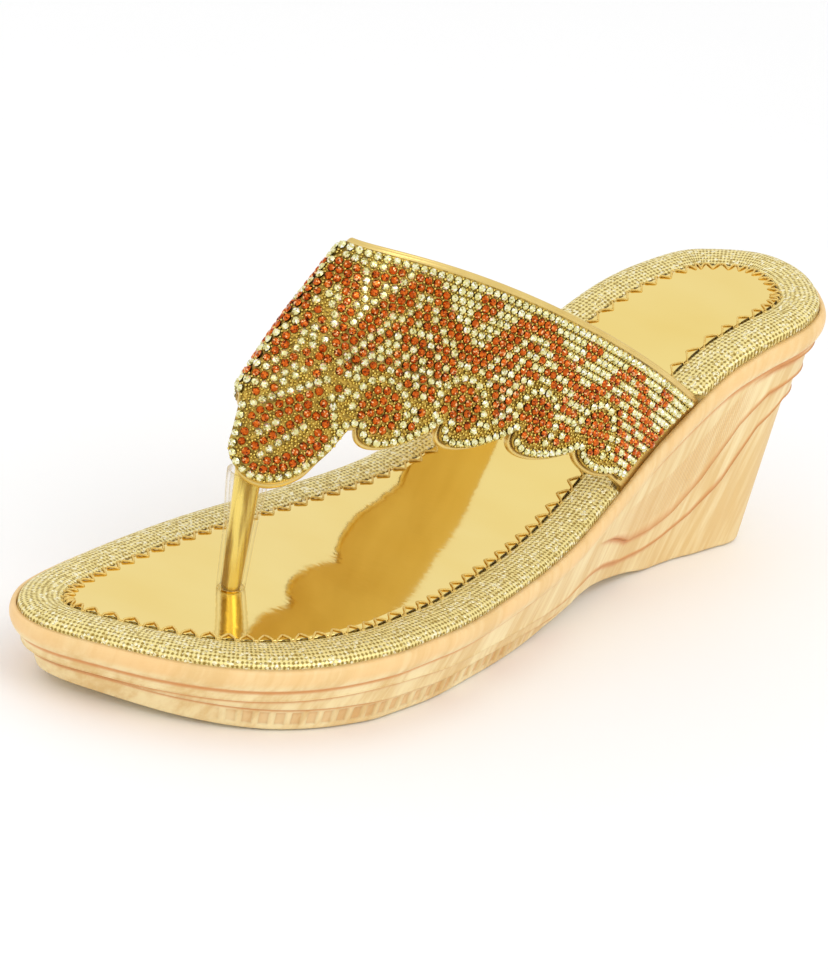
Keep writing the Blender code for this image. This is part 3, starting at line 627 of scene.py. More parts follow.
# %% Make the sole from rim to floor
def make_sole(finish):
    turns = side_turns()
    along = plan(turns)[0]
    side = side_height(along)
    heel = 1 - ramp(*HEEL_ZONE, along)
    rows = [inside_point(turns, 0.0, -SEAT_DEPTH)]
    marks = {key: [np.zeros_like(turns)] for key in ("line", "bead", "pocket", "leaf")}

    def add(share, out, **given):
        rows.append(side_point(turns, share, out))
        for key, store in marks.items():
            store.append(np.broadcast_to(given.get(key, 0.0), turns.shape))

    for t in np.linspace(0, 1, BEAD_ROWS):
        add(1 - LIP_DROP * t / side, LIP_OUT * smooth(BEAD, "out", t), line=ramp(*BEAD_PAINT, t),
            bead=1 - ramp(*BEAD_WARMTH, t))
    passed = LIP_OUT * BEAD_FOOT
    previous = line_share = 1 - LIP_DROP / side
    line_depth = 1.0

    def paint_below(share):
        """Paint left under the last line, less with every millimetre down."""
        fade = PAINT_FADE * (FORE_FADE + (1 - FORE_FADE) * heel)
        return line_depth * np.exp(-((line_share - share) * side / fade) ** 2)

    for name, fill in LINE_ROWS.items():
        level = np.minimum(straight(SIDE_LINES, name, along), line_share - LINE_GAP / side)
        depth = straight(STEPS, name, along)
        top = level + LINE_OFFSETS[0] / side
        leaf = 0.0
        if name == "inner":
            leaf = ramp(*LEAF_BEGINS, along) * (1 - ramp(*LEAF_ENDS, along))
        near = np.minimum(PAINT_STEP * PAINT_ROWS / ((previous - top) * side), PAINT_ROWS / fill)
        for k in range(1, fill):
            far = max(k - PAINT_ROWS, 0) / (fill - PAINT_ROWS)
            share = previous + (top - previous) * (near * min(k / PAINT_ROWS, 1) + (1 - near) * far)
            add(share, passed, line=paint_below(share), leaf=leaf)
        for offset in LINE_OFFSETS:
            t = (LINE_OFFSETS[0] - offset) / (LINE_OFFSETS[0] - LINE_OFFSETS[-1])
            lip = LIP_RAISE * math.exp(-((t - LIP_AT) / LIP_SPREAD) ** 2)
            groove = GROOVE_SINK * math.exp(-((t - GROOVE_AT) / GROOVE_SPREAD) ** 2)
            share = level + offset / side
            fade = PAINT_FADE if offset < 0 else PAINT_ABOVE + HEEL_ABOVE * heel
            add(share, passed + depth * (lip - groove - STEP_DEPTH * ramp(STEP_FROM, STEP_TO, t)),
                line=np.maximum(depth * np.exp(-(offset / fade) ** 2), paint_below(share)))
        passed = passed - STEP_DEPTH * depth
        line_depth = np.maximum(depth, paint_below(level))
        line_share = level
        previous = level + LINE_OFFSETS[-1] / side
    floor_share = FLOOR_CHAMFER / side
    for height in (0.9, POCKET_HIGH + POCKET_RIM, POCKET_HIGH, 0.65, 0.5, 0.35, POCKET_LOW,
                   POCKET_LOW - POCKET_RIM, 0.08):
        mask = pocket_mask(turns, along, height)
        share = floor_share + (previous - floor_share) * height
        add(share, passed - POCKET_DEPTH * mask, pocket=mask, line=paint_below(share))
    for drop, tuck in ((1.0, 0.0), (0.5, 0.14), (0.16, 0.5), (0.0, 1.0)):
        add(floor_share * drop, passed - FLOOR_CHAMFER * tuck)

    count = len(turns)
    faces = closed_rings(len(rows), count) + turned(cross_strips(0, count))
    faces += cross_strips((len(rows) - 1) * count, count)
    marks = {key: np.concatenate(store) for key, store in marks.items()}
    marks["run"] = np.tile(mirrored_run(turns), len(rows))
    piece("moulded_sole", np.concatenate(rows), faces, finish, "wood_look_sole", marks, node="sole")


# %% [markdown]
# ### The sole's finish
# The grain could be a picture wrapped on, but streaks of noise stretched along the
# grain stay sharp at any distance. The paint that stays in the moulded lines comes
# from the attributes kept on the mesh.

# %% Wood-look paint
RIB_PITCH = 0.8


def wood_finish():
    paint = Paint("wood_look_sole")
    broad = paint.noise(70.0, 3.0, 0.55, stretch=(1.0, 0.6, 0.16), tilt=0.35)
    fine = paint.noise(480.0, 3.0, 0.6, stretch=(1.0, 0.6, 0.05), tilt=0.35)
    grain = (broad * 0.6 + fine * 0.4).between(0.40, 0.64)
    wood = paint.mix(grain, (229, 194, 130), (249, 229, 176))
    rib = (paint.mark("run") * (2 * math.pi / RIB_PITCH)).sine() * 0.5 + 0.5
    ribbed = paint.mix(paint.mark("leaf") * rib * 0.7, wood, (232, 186, 124))
    cloudy = broad.between(0.35, 0.7) * 0.5 + 0.3
    warm = paint.mix(paint.mark("bead") * cloudy, ribbed, (244, 196, 128))
    line = (paint.mark("line") * 0.9 + paint.mark("pocket") * 0.38).between(0.08, 0.80)
    relief = fine * 0.5 + broad * 0.4 + rib * paint.mark("leaf") * 0.8
    return paint.finish(Base_Color=paint.mix(line * 0.85, warm, (216, 142, 74)), Roughness=0.44,
                        Normal=paint.bump(relief, 0.00018))


make_sole(wood_finish())

# %% [markdown]
# ## The strap's surface
# The strap is one V folded over the toes. Every point on it has a place round the V,
# from -1 at the inner rim over 0 at the fold to 1 at the outer rim, and a place
# across it, 0 on the front edge's chord and 1 on the back edge.

# %% Points on the strap
CROWN = np.array([CROWN_ALONG * SOLE_LENGTH, CROWN_ACROSS * BALL_WIDTH, FOREFOOT_RIM + CROWN_RISE + 2.0])
NOSE = np.array([NOSE_ALONG * SOLE_LENGTH, NOSE_ACROSS * BALL_WIDTH, FOREFOOT_RIM + NOSE_RISE + 1.5])
SLOPE_STEP = 0.002


def strap_base(wing, across):
    """Where a wing meets the rim, at a place across it."""
    along = wing.front_base + (wing.back_base - wing.front_base) * np.asarray(across, float)
    inset = 2 * CLEARANCE + STRAP_THICKNESS / 2
    y = edge_y(along, wing.side) - wing.side * inset
    return np.stack([along * SOLE_LENGTH, y, rim_z(along)], -1)


def wing_chords(wing, u):
    """A wing's front and back edge, without scallops."""
    a = np.minimum(np.abs(u), 1.0)
    f = a * a * (2 - a)

    def chord(start, across, spread, roundness, fall):
        out = np.sqrt(f) * (spread - (spread - 1) * f ** roundness)
        return start + (strap_base(wing, across) - start) * np.stack([f, out, f ** fall], -1)

    back = chord(CROWN, 1.0, wing.back_spread, wing.back_round, wing.back_fall)
    front = chord(NOSE, 0.0, wing.front_spread, 2, wing.front_fall)
    front[..., 2] += FRONT_LIFT * np.maximum(np.sin(np.pi * f), 0.0) ** 0.8
    return front, back


def wing_middle(wing, u, across):
    a = np.minimum(np.abs(u), 1.0)
    front, back = wing_chords(wing, u)
    w = across[..., None]
    spot = front + (back - front) * w
    spot[..., 0] += SOLE_LENGTH * smooth(SPINE, "bow", across) * (1 - a) ** 3
    chord = strap_base(wing, 0.0) + (strap_base(wing, 1.0) - strap_base(wing, 0.0)) * w
    spot += (strap_base(wing, across) - chord) * (a ** 6)[..., None]
    spot[..., 2] -= TUCK_DEPTH * np.maximum(np.abs(u) - 1.0, 0.0)
    return spot


def by_wing(u, value):
    """What a function gives for the outer wing where u is 0 or more, and else for the inner wing."""
    u = np.asarray(u, float)
    outer, inner = value(OUTER_WING), value(INNER_WING)
    return np.where((u >= 0)[(...,) + (None,) * (np.ndim(outer) - u.ndim)], outer, inner)


def strap_middle(u, across):
    u, across = np.broadcast_arrays(np.asarray(u, float), np.asarray(across, float))
    return by_wing(u, lambda wing: wing_middle(wing, u, across))


def strap_width(u):
    return by_wing(u, lambda wing: np.linalg.norm(np.subtract(*wing_chords(wing, u)), axis=-1))


def front_chord(u):
    return by_wing(u, lambda wing: wing_chords(wing, u)[0])


def strap_slopes(u, across):
    """How the strap's surface runs: the steps round the V and across it, for a unit of each place."""
    d = SLOPE_STEP
    u, across = np.clip(u, -1 + d, 1 - d), np.asarray(across)
    return ((strap_middle(u + d, across) - strap_middle(u - d, across)) / (2 * d),
            (strap_middle(u, across + d) - strap_middle(u, across - d)) / (2 * d))


def strap_normal(u, across):
    return unit(np.cross(*strap_slopes(u, across)))


def strap_point(u, across, lift=0.0):
    return strap_middle(u, across) + strap_normal(u, across) * np.asarray(lift)[..., None]


# %% The scalloped front edge
PLACES = np.linspace(-1, 1, 401)
LENGTHS = run_along(front_chord(PLACES))
Bulge = namedtuple("Bulge", "middle half radius depth")


def length_at(u):
    return np.interp(u, PLACES, LENGTHS)


def place_at(length):
    return np.interp(length, LENGTHS, PLACES)


def bulges():
    rows = [(length_at(place), SCALLOP_RADIUS, SCALLOP_DEPTH * depth) for place, depth in SCALLOPS]
    rows.append((length_at(TEARDROP_PLACE), TEARDROP_RADIUS, TEARDROP_DEPTH))
    return [Bulge(m, math.sqrt(r ** 2 - max(r - d, 0.0) ** 2), r, d) for m, r, d in sorted(rows)]


BULGES = bulges()
CLOSEST_PLACES, CLOSEST_TO_END = 0.0012, 0.001
DROP_START = length_at(TEARDROP_PLACE) - TEARDROP_RADIUS
FOLD = length_at(0.0)


def front_depth(u):
    """How far the scalloped edge hangs past its chord; on the inner side it starts further back."""
    u = np.asarray(u, float)
    length = length_at(u)
    depth = np.zeros_like(length)
    for bulge in BULGES:
        off = np.abs(length - bulge.middle)
        hang = np.sqrt(np.maximum(bulge.radius ** 2 - off ** 2, 0)) - (bulge.radius - bulge.depth)
        depth = np.where(off < bulge.half, np.maximum(depth, hang), depth)
    held = np.clip((u - CUT_BACK_END) / (CUT_BACK_HOLD - CUT_BACK_END), 0, 1)
    share = (length - FOLD) / (DROP_START - FOLD)
    side = (INNER_CUT_BACK + TEARDROP_DEPTH - TEARDROP_RADIUS) * share - INNER_CUT_BACK
    depth = np.where(u <= 0, depth - INNER_CUT_BACK * held, depth)
    return np.where((u > 0) & (length < DROP_START), side, depth)


def front_edge(u, margin):
    """The place across at which the front edge lies, or a margin behind it."""
    return (margin - front_depth(u)) / strap_width(u)


def strap_places(end, spacing):
    """Places round the V, about a spacing apart, closer at the ends of each bulge and at the fold."""
    lengths = list(np.arange(length_at(-end), length_at(end), spacing))
    for bulge in BULGES:
        steps = int(2 * bulge.half / spacing) + 6
        lengths += list(bulge.middle - bulge.half * np.cos(np.pi * np.arange(steps + 1) / steps))
    lengths += list(FOLD + np.arange(-4, 4, spacing / 3))
    kept = [-end]
    for place in place_at(np.array(sorted(lengths))):
        if place - kept[-1] > CLOSEST_PLACES and place < end - CLOSEST_TO_END:
            kept.append(place)
    return np.array(kept + [end])


print("front edge is %.0f mm long, strap is %.0f mm wide at its fold" % (LENGTHS[-1], strap_width(0.0)))

# %% [markdown]
# ## A sheet with two faces and rounded edges
# Leather is thin, but it still has an edge that catches the light. The strap and its
# stone mat are each one closed band: across the outside, round the back edge, back
# over the inside and round the front edge.

# %% Make a band on the strap
MEAN_WIDTH, EDGE_ROWS = 42.0, (0.4, 1.2)
BAND_ROWS, BAND_SPACING = 26, 0.9


def strap_band(name, places, low_lift, high_lift, front_margin, back_margin, finish, slot, node, edge):
    width = strap_width(places)
    low, high = front_edge(places, front_margin), 1 - back_margin / width
    near, far = (row / MEAN_WIDTH for row in EDGE_ROWS)
    shares = np.concatenate([[0.0, near], np.linspace(far, 1 - far, BAND_ROWS), [1 - near, 1.0]])
    rounding = ((0.0, 1.0), (edge * 0.7, 0.75), (edge, 0.5), (edge * 0.7, 0.25), (0.0, 0.0))
    thickness = high_lift - low_lift
    section = [(share, 0.0, high_lift) for share in shares[:-1]]
    section += [(1.0, out, low_lift + thickness * up) for out, up in rounding]
    section += [(share, 0.0, low_lift) for share in shares[-2:0:-1]]
    section += [(0.0, -out, low_lift + thickness * up) for out, up in rounding[:0:-1]]
    points = np.stack([strap_point(places, low + (high - low) * share + out / width, lift)
                       for share, out, lift in section], 1)
    count, stride = len(places), len(section)
    faces = closed_rings(count, stride) + ring_caps(count, stride)
    marks = {"run": np.repeat(length_at(places), stride)}
    piece(name, points.reshape(-1, 3), faces, finish, slot, marks, node=node)


def gold_leather():
    paint = Paint("gold_leather")
    grain = paint.noise(2600.0)
    return paint.finish(Base_Color=paint.mix(paint.noise(90.0), (214, 180, 96), (242, 216, 140)),
                        Metallic=0.85, Roughness=0.27 + grain * 0.12, Normal=paint.bump(grain, 0.00006))


def mat_finish():
    paint = Paint("stone_mat")
    speck = paint.grains(1500.0)
    return paint.finish(Base_Color=paint.mix(speck, (120, 92, 22), (218, 180, 78)), Metallic=0.7,
                        Roughness=0.38, Normal=paint.bump(speck, 0.0002, 0.8))


PANEL_END = 1.0 - PANEL_BASE_MARGIN / (LENGTHS[-1] - FOLD)
MAT_LIFT = STRAP_THICKNESS / 2 + CLEARANCE
MAT_THICKNESS = 0.55
MAT_TOP = MAT_LIFT + MAT_THICKNESS
GOLD = gold_leather()
wall_places = np.concatenate([[-2.0, -1.5], strap_places(1.0, BAND_SPACING), [1.5, 2.0]])
strap_band("strap_wall", wall_places, -STRAP_THICKNESS / 2, STRAP_THICKNESS / 2, 0.0, 0.0, GOLD,
           "gold_leather", "upper", 0.3)
strap_band("bead_mat", strap_places(PANEL_END, BAND_SPACING), MAT_LIFT, MAT_TOP, PANEL_FRONT_MARGIN,
           PANEL_BACK_MARGIN, mat_finish(), "stone_field", "stone_panel", 0.15)

# %% [markdown]
# ## The padded bed and its glitter binding
# A strip of glitter fabric is wrapped over the foam at the edge, so it swells up from
# the rim and goes down again to the insole. Where the strap goes down inside the rim
# it presses the fabric in, which a nearest-point search on the strap works out.

# %% The bed's section, and the strap's pressure on it
BINDING = table(
    "inset lift",
    (0.30, -0.40), (0.34, 0.10), (0.55, 0.62), (1.10, 1.12), (2.30, 1.70), (4.70, 2.20), (6.60, 2.20),
    (8.30, 2.08), (9.70, 1.86), (10.70, 1.58), (11.00, 0.90))
BINDING_ROWS = 34
TREE_ROWS, TREE_SPACING = 24, 2.0
PRESS_GAP, PRESS_SEARCH, PRESS_OUT, PRESS_SLACK = 0.35, 4.0, 3.2, 0.4


def strap_tree():
    """The strap's middle surface, ready for nearest-point searches."""
    places = strap_places(1.0, TREE_SPACING)
    low = front_edge(places, 0.0) - 0.02
    rows = TREE_ROWS
    grid = np.stack([strap_point(places, low + (1.02 - low) * k / (rows - 1)) for k in range(rows)], 1)
    faces = [(a, a + rows, a + rows + 1, a + 1) for i in range(len(places) - 1)
             for a in range(i * rows, (i + 1) * rows - 1)]
    return BVHTree.FromPolygons([Vector(p) for p in grid.reshape(-1, 3)], faces)


def press_under_strap(points):
    """Points that lie in the strap's wall, or just outside it near the rim, move to its inside."""
    tree = strap_tree()
    reach = STRAP_THICKNESS / 2 + PRESS_GAP
    moved = 0
    for i, point in enumerate(points):
        spot, normal, _, distance = tree.find_nearest(Vector(point), PRESS_SEARCH)
        if spot is None:
            continue
        away = (Vector(point) - spot).dot(normal)
        if -reach < away < PRESS_OUT and distance < abs(away) + PRESS_SLACK:
            points[i] = np.array(spot - normal * reach)
            moved += 1
    print("strap presses on", moved, "points")
    return points


def make_bed(finish):
    turns = EVEN_TURNS
    pad = heel_pad(plan(turns)[0])
    knots = np.arange(len(BINDING["inset"]), dtype=float)
    steps = np.linspace(0, knots[-1], BINDING_ROWS)
    insets, lifts = (smooth_curve(knots, BINDING[name], steps) for name in ("inset", "lift"))
    rows = [inside_point(turns, 1.5, CLEARANCE - SEAT_DEPTH), inside_point(turns, 0.3, 1.2 - SEAT_DEPTH)]
    rows += [inside_point(turns, inset, lift + pad * (lift >= 0)) for inset, lift in zip(insets, lifts)]
    count, last = len(turns), len(rows) - 1
    faces = turned(closed_rings(len(rows), count)) + cross_strips(0, count)
    faces += turned(cross_strips(last * count, count))
    across = np.concatenate([[0.0, 0.0], run_along(np.stack([insets, lifts], -1))])
    marks = {"run": np.tile(mirrored_run(turns), len(rows)), "across": np.repeat(across, count)}
    points = press_under_strap(np.concatenate(rows))
    bed = piece("padded_bed", points, faces, finish, "glitter_fabric", marks, node="footbed")


# %% [markdown]
# ### Glitter fabric
# The fabric is a coarse weave of pale gold threads about a millimetre apart, with
# glitter specks. Two crossing waves make the threads, with painted shade in the holes
# between them, and a random number for each small cell gives some specks a painted glint.

# %% Weave and glitter
THREAD_PITCH = 2.2


def glitter_finish():
    paint = Paint("glitter_fabric")
    wave = 2 * math.pi / THREAD_PITCH
    run, across = paint.mark("run") * wave, paint.mark("across") * wave
    weft, warp = (run + across * 0.9).sine(), (run - across * 0.9).sine()
    wobble = paint.noise(900.0)
    # The threads in their own pale gold, and painted shade in the holes between them
    weave_with_painted_shade = (weft * warp * 0.5 + 0.5 + (wobble - 0.5) * 0.7).between(0.08, 0.62)
    speck = paint.grains(1700.0)
    cloth_with_painted_shade = paint.mix(weave_with_painted_shade, (160, 132, 50), (248, 230, 154))
    # Some specks get a painted glint: a near-white colour
    painted_glint = paint.mix(speck.between(0.78, 0.94), cloth_with_painted_shade, (255, 246, 204))
    colour = paint.mix(speck.between(0.16, 0.05) * 0.6, painted_glint, (176, 144, 56))
    return paint.finish(Base_Color=colour, Metallic=0.5, Roughness=0.55 - speck * 0.28,
                        Normal=paint.bump(weave_with_painted_shade + speck * 0.25, 0.0003, 0.7))


make_bed(glitter_finish())

# %% [markdown]
# ## The mirror insole
# A thin sheet of gold foil on card. It reflects the white surroundings and the inside
# of the strap. The foil is never quite flat, so reflections have ragged edges: long,
# low waves in the finish do that better than dents in the mesh.

# %% Foil
FOIL_LIFT = BINDING_PUFF - INSOLE_SINK
FOIL_LANES = 8


def make_insole(finish):
    top = FOIL_LIFT + heel_pad(plan(EVEN_TURNS)[0])
    edge = BINDING_WIDTH + CLEARANCE
    rows = [inside_point(EVEN_TURNS, edge + inset, top + drop)
            for inset, drop in ((0.0, -INSOLE_THICKNESS), (0.0, -0.18), (0.06, -0.06), (0.2, 0.0))]

    def level(points):
        share = np.clip(points[..., 0] / SOLE_LENGTH, 0, 1)
        return rim_z(share) + FOIL_LIFT + heel_pad(share)

    inner, inner_faces = cross_grid(rows[-1], FOIL_LANES, level)
    count, last = len(EVEN_TURNS), (len(rows) - 1) * len(EVEN_TURNS)
    faces = closed_rings(len(rows), count) + cross_strips(0, count)
    faces += [tuple(last + k for k in face) for face in inner_faces]
    piece("mirror_insole", np.concatenate(rows + [inner]), faces, finish, "mirror_foil", node="insole")


def foil_finish():
    paint = Paint("mirror_foil")
    long_wave = paint.noise(55.0, stretch=(1.0, 0.5, 1.0))
    crinkle = paint.noise(420.0, 2.0, 0.6, stretch=(1.0, 0.35, 1.0))
    return paint.finish(Base_Color=paint.mix(long_wave, (244, 214, 124), (250, 228, 150)), Metallic=1.0,
                        Roughness=0.045 + crinkle * 0.05,
                        Normal=paint.bump(long_wave * 0.8 + crinkle * 0.2, 0.0004, 0.35))


make_insole(foil_finish())

# %% [markdown]
# ## Thread
# A machine sews the insole to the binding with a zigzag of gold thread. Each stitch is
# real thread here: one tube that rises from its hole, crosses the edge and dives again.

# %% Tubes along a path
STITCH_PITCH = 5.3
STITCHES = int(ROUND_RIM / STITCH_PITCH)
STITCH_OUT, STITCH_IN, STITCH_STEPS = 10.3, 13.5, 10
STITCH_RISE, STITCH_SINK = 0.34, 0.02
THREAD_RADIUS, SEAM_RADIUS = 0.27, 0.12
SEAM_POINTS, SEAM_RISE, SEAM_SINK = 5, 0.18, 0.1


def tube_mesh(path, radius, sides, closed=False):
    """Points and faces of a round tube along a path of points."""
    ahead = np.roll(path, -1, 0) - np.roll(path, 1, 0)
    if not closed:
        ahead[0], ahead[-1] = path[1] - path[0], path[-1] - path[-2]
    ahead = unit(ahead)
    sideways = unit(np.cross(ahead, np.array([0.0, 0.0, 1.0])))
    upward = np.cross(sideways, ahead)
    radius = np.broadcast_to(radius, (len(path),))
    rings = [path + (sideways * math.cos(t) + upward * math.sin(t)) * radius[:, None]
             for t in circle(sides)]
    faces = turned(closed_rings(len(path), sides, wrap=closed))
    if not closed:
        faces += turned(ring_caps(len(path), sides))
    return np.stack(rings, 1).reshape(-1, 3), faces


def make_stitches(finish):
    number, step = np.divmod(np.arange(2 * STITCHES * STITCH_STEPS), STITCH_STEPS)
    t = step / STITCH_STEPS
    turns = turn_at((number + t) * ROUND_RIM / (2 * STITCHES))
    insets = STITCH_OUT + (STITCH_IN - STITCH_OUT) * np.where(number % 2 == 0, t, 1 - t)
    binding = np.interp(insets, BINDING["inset"], BINDING["lift"])
    under = np.where(insets > BINDING_WIDTH, FOIL_LIFT, binding) + heel_pad(plan(turns)[0])
    path = inside_point(turns, insets, under + STITCH_RISE * np.sin(math.pi * t) ** 0.5 - STITCH_SINK)
    piece("edge_stitches", *tube_mesh(path, THREAD_RADIUS, 6, closed=True), finish, "glitter_fabric")


def make_seam(finish):
    """Short dark stitches in the gap between the binding and the insole."""
    arc = SEAM_RISE * np.sin(np.linspace(0, math.pi, SEAM_POINTS)) - SEAM_SINK
    points, faces, first = [], [], 0
    for k in range(STITCHES):
        turns = turn_at((k + np.linspace(0.12, 0.62, SEAM_POINTS)) * ROUND_RIM / STITCHES)
        path = inside_point(turns, BINDING_WIDTH + 0.12, FOIL_LIFT + heel_pad(plan(turns)[0]) + arc)
        tube_points, tube_faces = tube_mesh(path, SEAM_RADIUS, 5)
        points.append(tube_points)
        faces += [tuple(first + i for i in face) for face in tube_faces]
        first += len(tube_points)
    piece("seam_thread", np.concatenate(points), faces, finish, "glitter_fabric")


def thread_finish(name, low, high):
    paint = Paint(name)
    twist = paint.noise(1800.0, 1.0)
    return paint.finish(Base_Color=paint.mix(twist, low, high), Metallic=0.35, Roughness=0.42,
                        Normal=paint.bump(twist, 0.0001))


make_stitches(thread_finish("gold_thread", (214, 168, 58), (250, 224, 140)))
make_seam(thread_finish("dark_thread", (66, 56, 32), (112, 96, 56)))

# %% [markdown]
# ## Where the stones go
# The stones lie in a pattern: a ring of crystals round each scallop with copper stones
# inside, a drop shape over the post, a copper zigzag with rows nested under its peaks,
# small copper triangles between them, and crystals along the back edge. The pattern is
# charted in the strap's own places, then stones are set one by one on it.

# %% The chart, by place round the V and place across it
ZIGZAG = ((-1.00, 0.62), (-0.96, 0.45), (-0.85, 0.92), (-0.735, 0.47), (-0.62, 0.92), (-0.50, 0.47),
          (-0.385, 0.92), (-0.27, 0.48), (-0.16, 0.93), (-0.05, 0.46), (0.065, 0.93), (0.19, 0.50),
          (0.272, 0.93), (0.48, 0.50), (0.522, 0.91), (0.735, 0.45), (0.765, 0.91), (0.95, 0.44),
          (1.00, 0.60))
DROP_TOP = ((0.022, 0.075), (0.060, 0.165), (0.135, 0.235), (0.212, 0.315), (0.262, 0.165),
            (0.298, 0.02), (0.318, -0.085))
MEDALLIONS = ((0.370, 0.130), (0.530, 0.150), (0.695, 0.140), (0.830, 0.220), (-0.20, 0.22),
              (-0.37, 0.17), (-0.545, 0.14), (-0.705, 0.14), (-0.845, 0.17))
TRIANGLES = (-0.73, -0.505, -0.28, -0.045, 0.17, 0.42, 0.66, 0.89)
TRIANGLE_BACK, TRIANGLE_HEIGHT, TRIANGLE_HALF = 4.6, 8.5, 4.0
TRIANGLE_END = 12.5
STONE_RADIUS, STONE_PITCH, ROW_PITCH = 1.04, 2.34, 2.12
CLOSE, CLOSER = STONE_PITCH * 0.9, STONE_PITCH * 0.86
EDGE_GAP = STONE_RADIUS + 0.08
DROP_ROW = ROW_PITCH * 1.02
DROP_SLANT, DROP_MIDDLE = 0.6, (0.17, 0.02)
BAND_HALF = 2.15
FIELD_ROWS, MOST_STONES, FAR_AWAY = 32, 6000, 1e6
CRYSTAL, COPPER = 0, 1


# %% Walk over the strap in millimetres
def on_top(u, w):
    return strap_point(u, w, MAT_TOP)


def walk(u, across, sideways, back, hops=4):
    """From a place, go some millimetres round the V and some towards its back edge."""
    for _ in range(hops):
        round_step, across_step = strap_slopes(u, across)
        size_u = np.linalg.norm(round_step, axis=-1)
        size_w = np.linalg.norm(across_step, axis=-1)
        lean = np.sum(round_step * across_step, -1) / (size_u * size_w)
        upright = np.sqrt(1 - lean ** 2)
        u = u + (sideways / hops - back / hops * lean / upright) / size_u
        across = across + back / hops / (size_w * upright)
    return u, across


def beside(u, w, distance):
    """A path on the mat moved sideways by a distance: towards the back edge where it runs outwards."""
    spots = on_top(u, w)
    target = spots + np.cross(strap_normal(u, w), unit(np.gradient(spots, axis=0))) * distance
    for _ in range(3):
        miss = target - on_top(u, w)
        a, b = strap_slopes(u, w)
        aa, bb, ab = (a * a).sum(-1), (b * b).sum(-1), (a * b).sum(-1)
        am, bm = (a * miss).sum(-1), (b * miss).sum(-1)
        det = aa * bb - ab ** 2
        u, w = u + (am * bb - bm * ab) / det, w + (bm * aa - am * ab) / det
    return u, w


def at_runs(u, w, run, steps):
    return np.interp(steps, run, u), np.interp(steps, run, w)


def along_path(u, w, pitch):
    """Even places on a path."""
    run = run_along(on_top(u, w))
    return at_runs(u, w, run, np.linspace(0, run[-1], max(int(run[-1] / pitch), 1) + 1))


def row_behind(depth, samples, hops):
    """A row round the V at a depth from the back edge, and how far along it each place lies."""
    u, w = walk(np.linspace(-1.0, 1.0, samples), 1.0, 0.0, -depth, hops)
    return u, w, run_along(on_top(u, w))


def corner_path(corners, count):
    """Places on the straight lines from corner to corner."""
    share = np.linspace(0, len(corners) - 1, count)
    return [np.interp(share, np.arange(len(corners)), column) for column in np.transpose(corners)]


# %% Set a stone only where there is room
class Setting:
    """The stones set so far: their places, kinds and spots, kept apart from one another."""

    def __init__(self):
        self.u, self.w, self.kind = [], [], []
        self.spots = np.full((MOST_STONES, 3), FAR_AWAY)

    def add(self, u, w, kinds, apart):
        u, w = np.atleast_1d(u), np.atleast_1d(w)
        kinds = np.broadcast_to(kinds, u.shape)
        spots = on_top(u, w)
        for k in np.flatnonzero(on_mat(u, w, spots)):
            count = len(self.u)
            if np.linalg.norm(self.spots[:count + 1] - spots[k], axis=1).min() < apart:
                continue
            self.u.append(u[k])
            self.w.append(w[k])
            self.kind.append(kinds[k])
            self.spots[count] = spots[k]


def spot_tree(spots):
    tree = kdtree.KDTree(len(spots))
    for k, spot in enumerate(spots):
        tree.insert(Vector(spot), k)
    tree.balance()
    return tree


def gap_to(tree, spots):
    return np.array([tree.find(Vector(spot))[2] for spot in spots])


EDGE_PLACES = strap_places(PANEL_END, 0.3)
EDGE_ACROSS = front_edge(EDGE_PLACES, PANEL_FRONT_MARGIN)
EDGE_TREE = spot_tree(on_top(EDGE_PLACES, EDGE_ACROSS))


def on_mat(u, w, spots):
    """Whether stones there keep their margins to the mat's edges."""
    inside = (np.abs(u) < PANEL_END - 0.7 * STONE_RADIUS / 130) & (w > front_edge(u, PANEL_FRONT_MARGIN))
    inside &= w < 1 - (PANEL_BACK_MARGIN + 0.9 * STONE_RADIUS) / strap_width(u)
    return inside & (gap_to(EDGE_TREE, spots) > STONE_RADIUS - 0.15)


# %% The edge, the drop and the medallions
def in_drop(u, w):
    """Whether places lie in the drop over the post."""
    return (u > DROP_TOP[0][0]) & (u < DROP_TOP[-1][0]) & (w < np.interp(u, *corner_path(DROP_TOP, 120)))


def set_edges(setting):
    top = corner_path(DROP_TOP, 120)
    for path in (beside(EDGE_PLACES, EDGE_ACROSS, EDGE_GAP), top):
        setting.add(*along_path(*path, STONE_PITCH * 0.97), CRYSTAL, CLOSE)
    round_drop = (EDGE_PLACES > 0.02) & (EDGE_PLACES < 0.325)
    edge = EDGE_PLACES[round_drop], EDGE_ACROSS[round_drop]
    for inwards in (DROP_ROW, 2 * DROP_ROW):
        for u, w in (beside(*edge, EDGE_GAP + inwards), beside(*top, -inwards)):
            keep = in_drop(u, w)
            setting.add(*along_path(u[keep], w[keep], STONE_PITCH), COPPER, CLOSE)


def set_drop_rows(setting):
    """Rows that slant across the inside of the drop, crystal and copper in turn."""
    step = np.arange(-7, 8) * STONE_PITCH
    c, s = math.cos(DROP_SLANT), math.sin(DROP_SLANT)
    for row in range(-9, 10):
        u, w = walk(*DROP_MIDDLE, step * c - row * ROW_PITCH * s, step * s + row * ROW_PITCH * c)
        keep = in_drop(u, w)
        setting.add(u[keep], w[keep], CRYSTAL if row % 2 else COPPER, STONE_PITCH * 0.88)


def set_medallions(setting):
    for place, across in MEDALLIONS:
        for ring, kind in enumerate((COPPER, COPPER, COPPER, CRYSTAL)):
            angles = place * 9 + circle(6 * ring or 1)
            reach = ring * STONE_PITCH * 1.05
            u, w = walk(place, across, reach * np.cos(angles), reach * np.sin(angles))
            setting.add(u, w, kind, CLOSER)


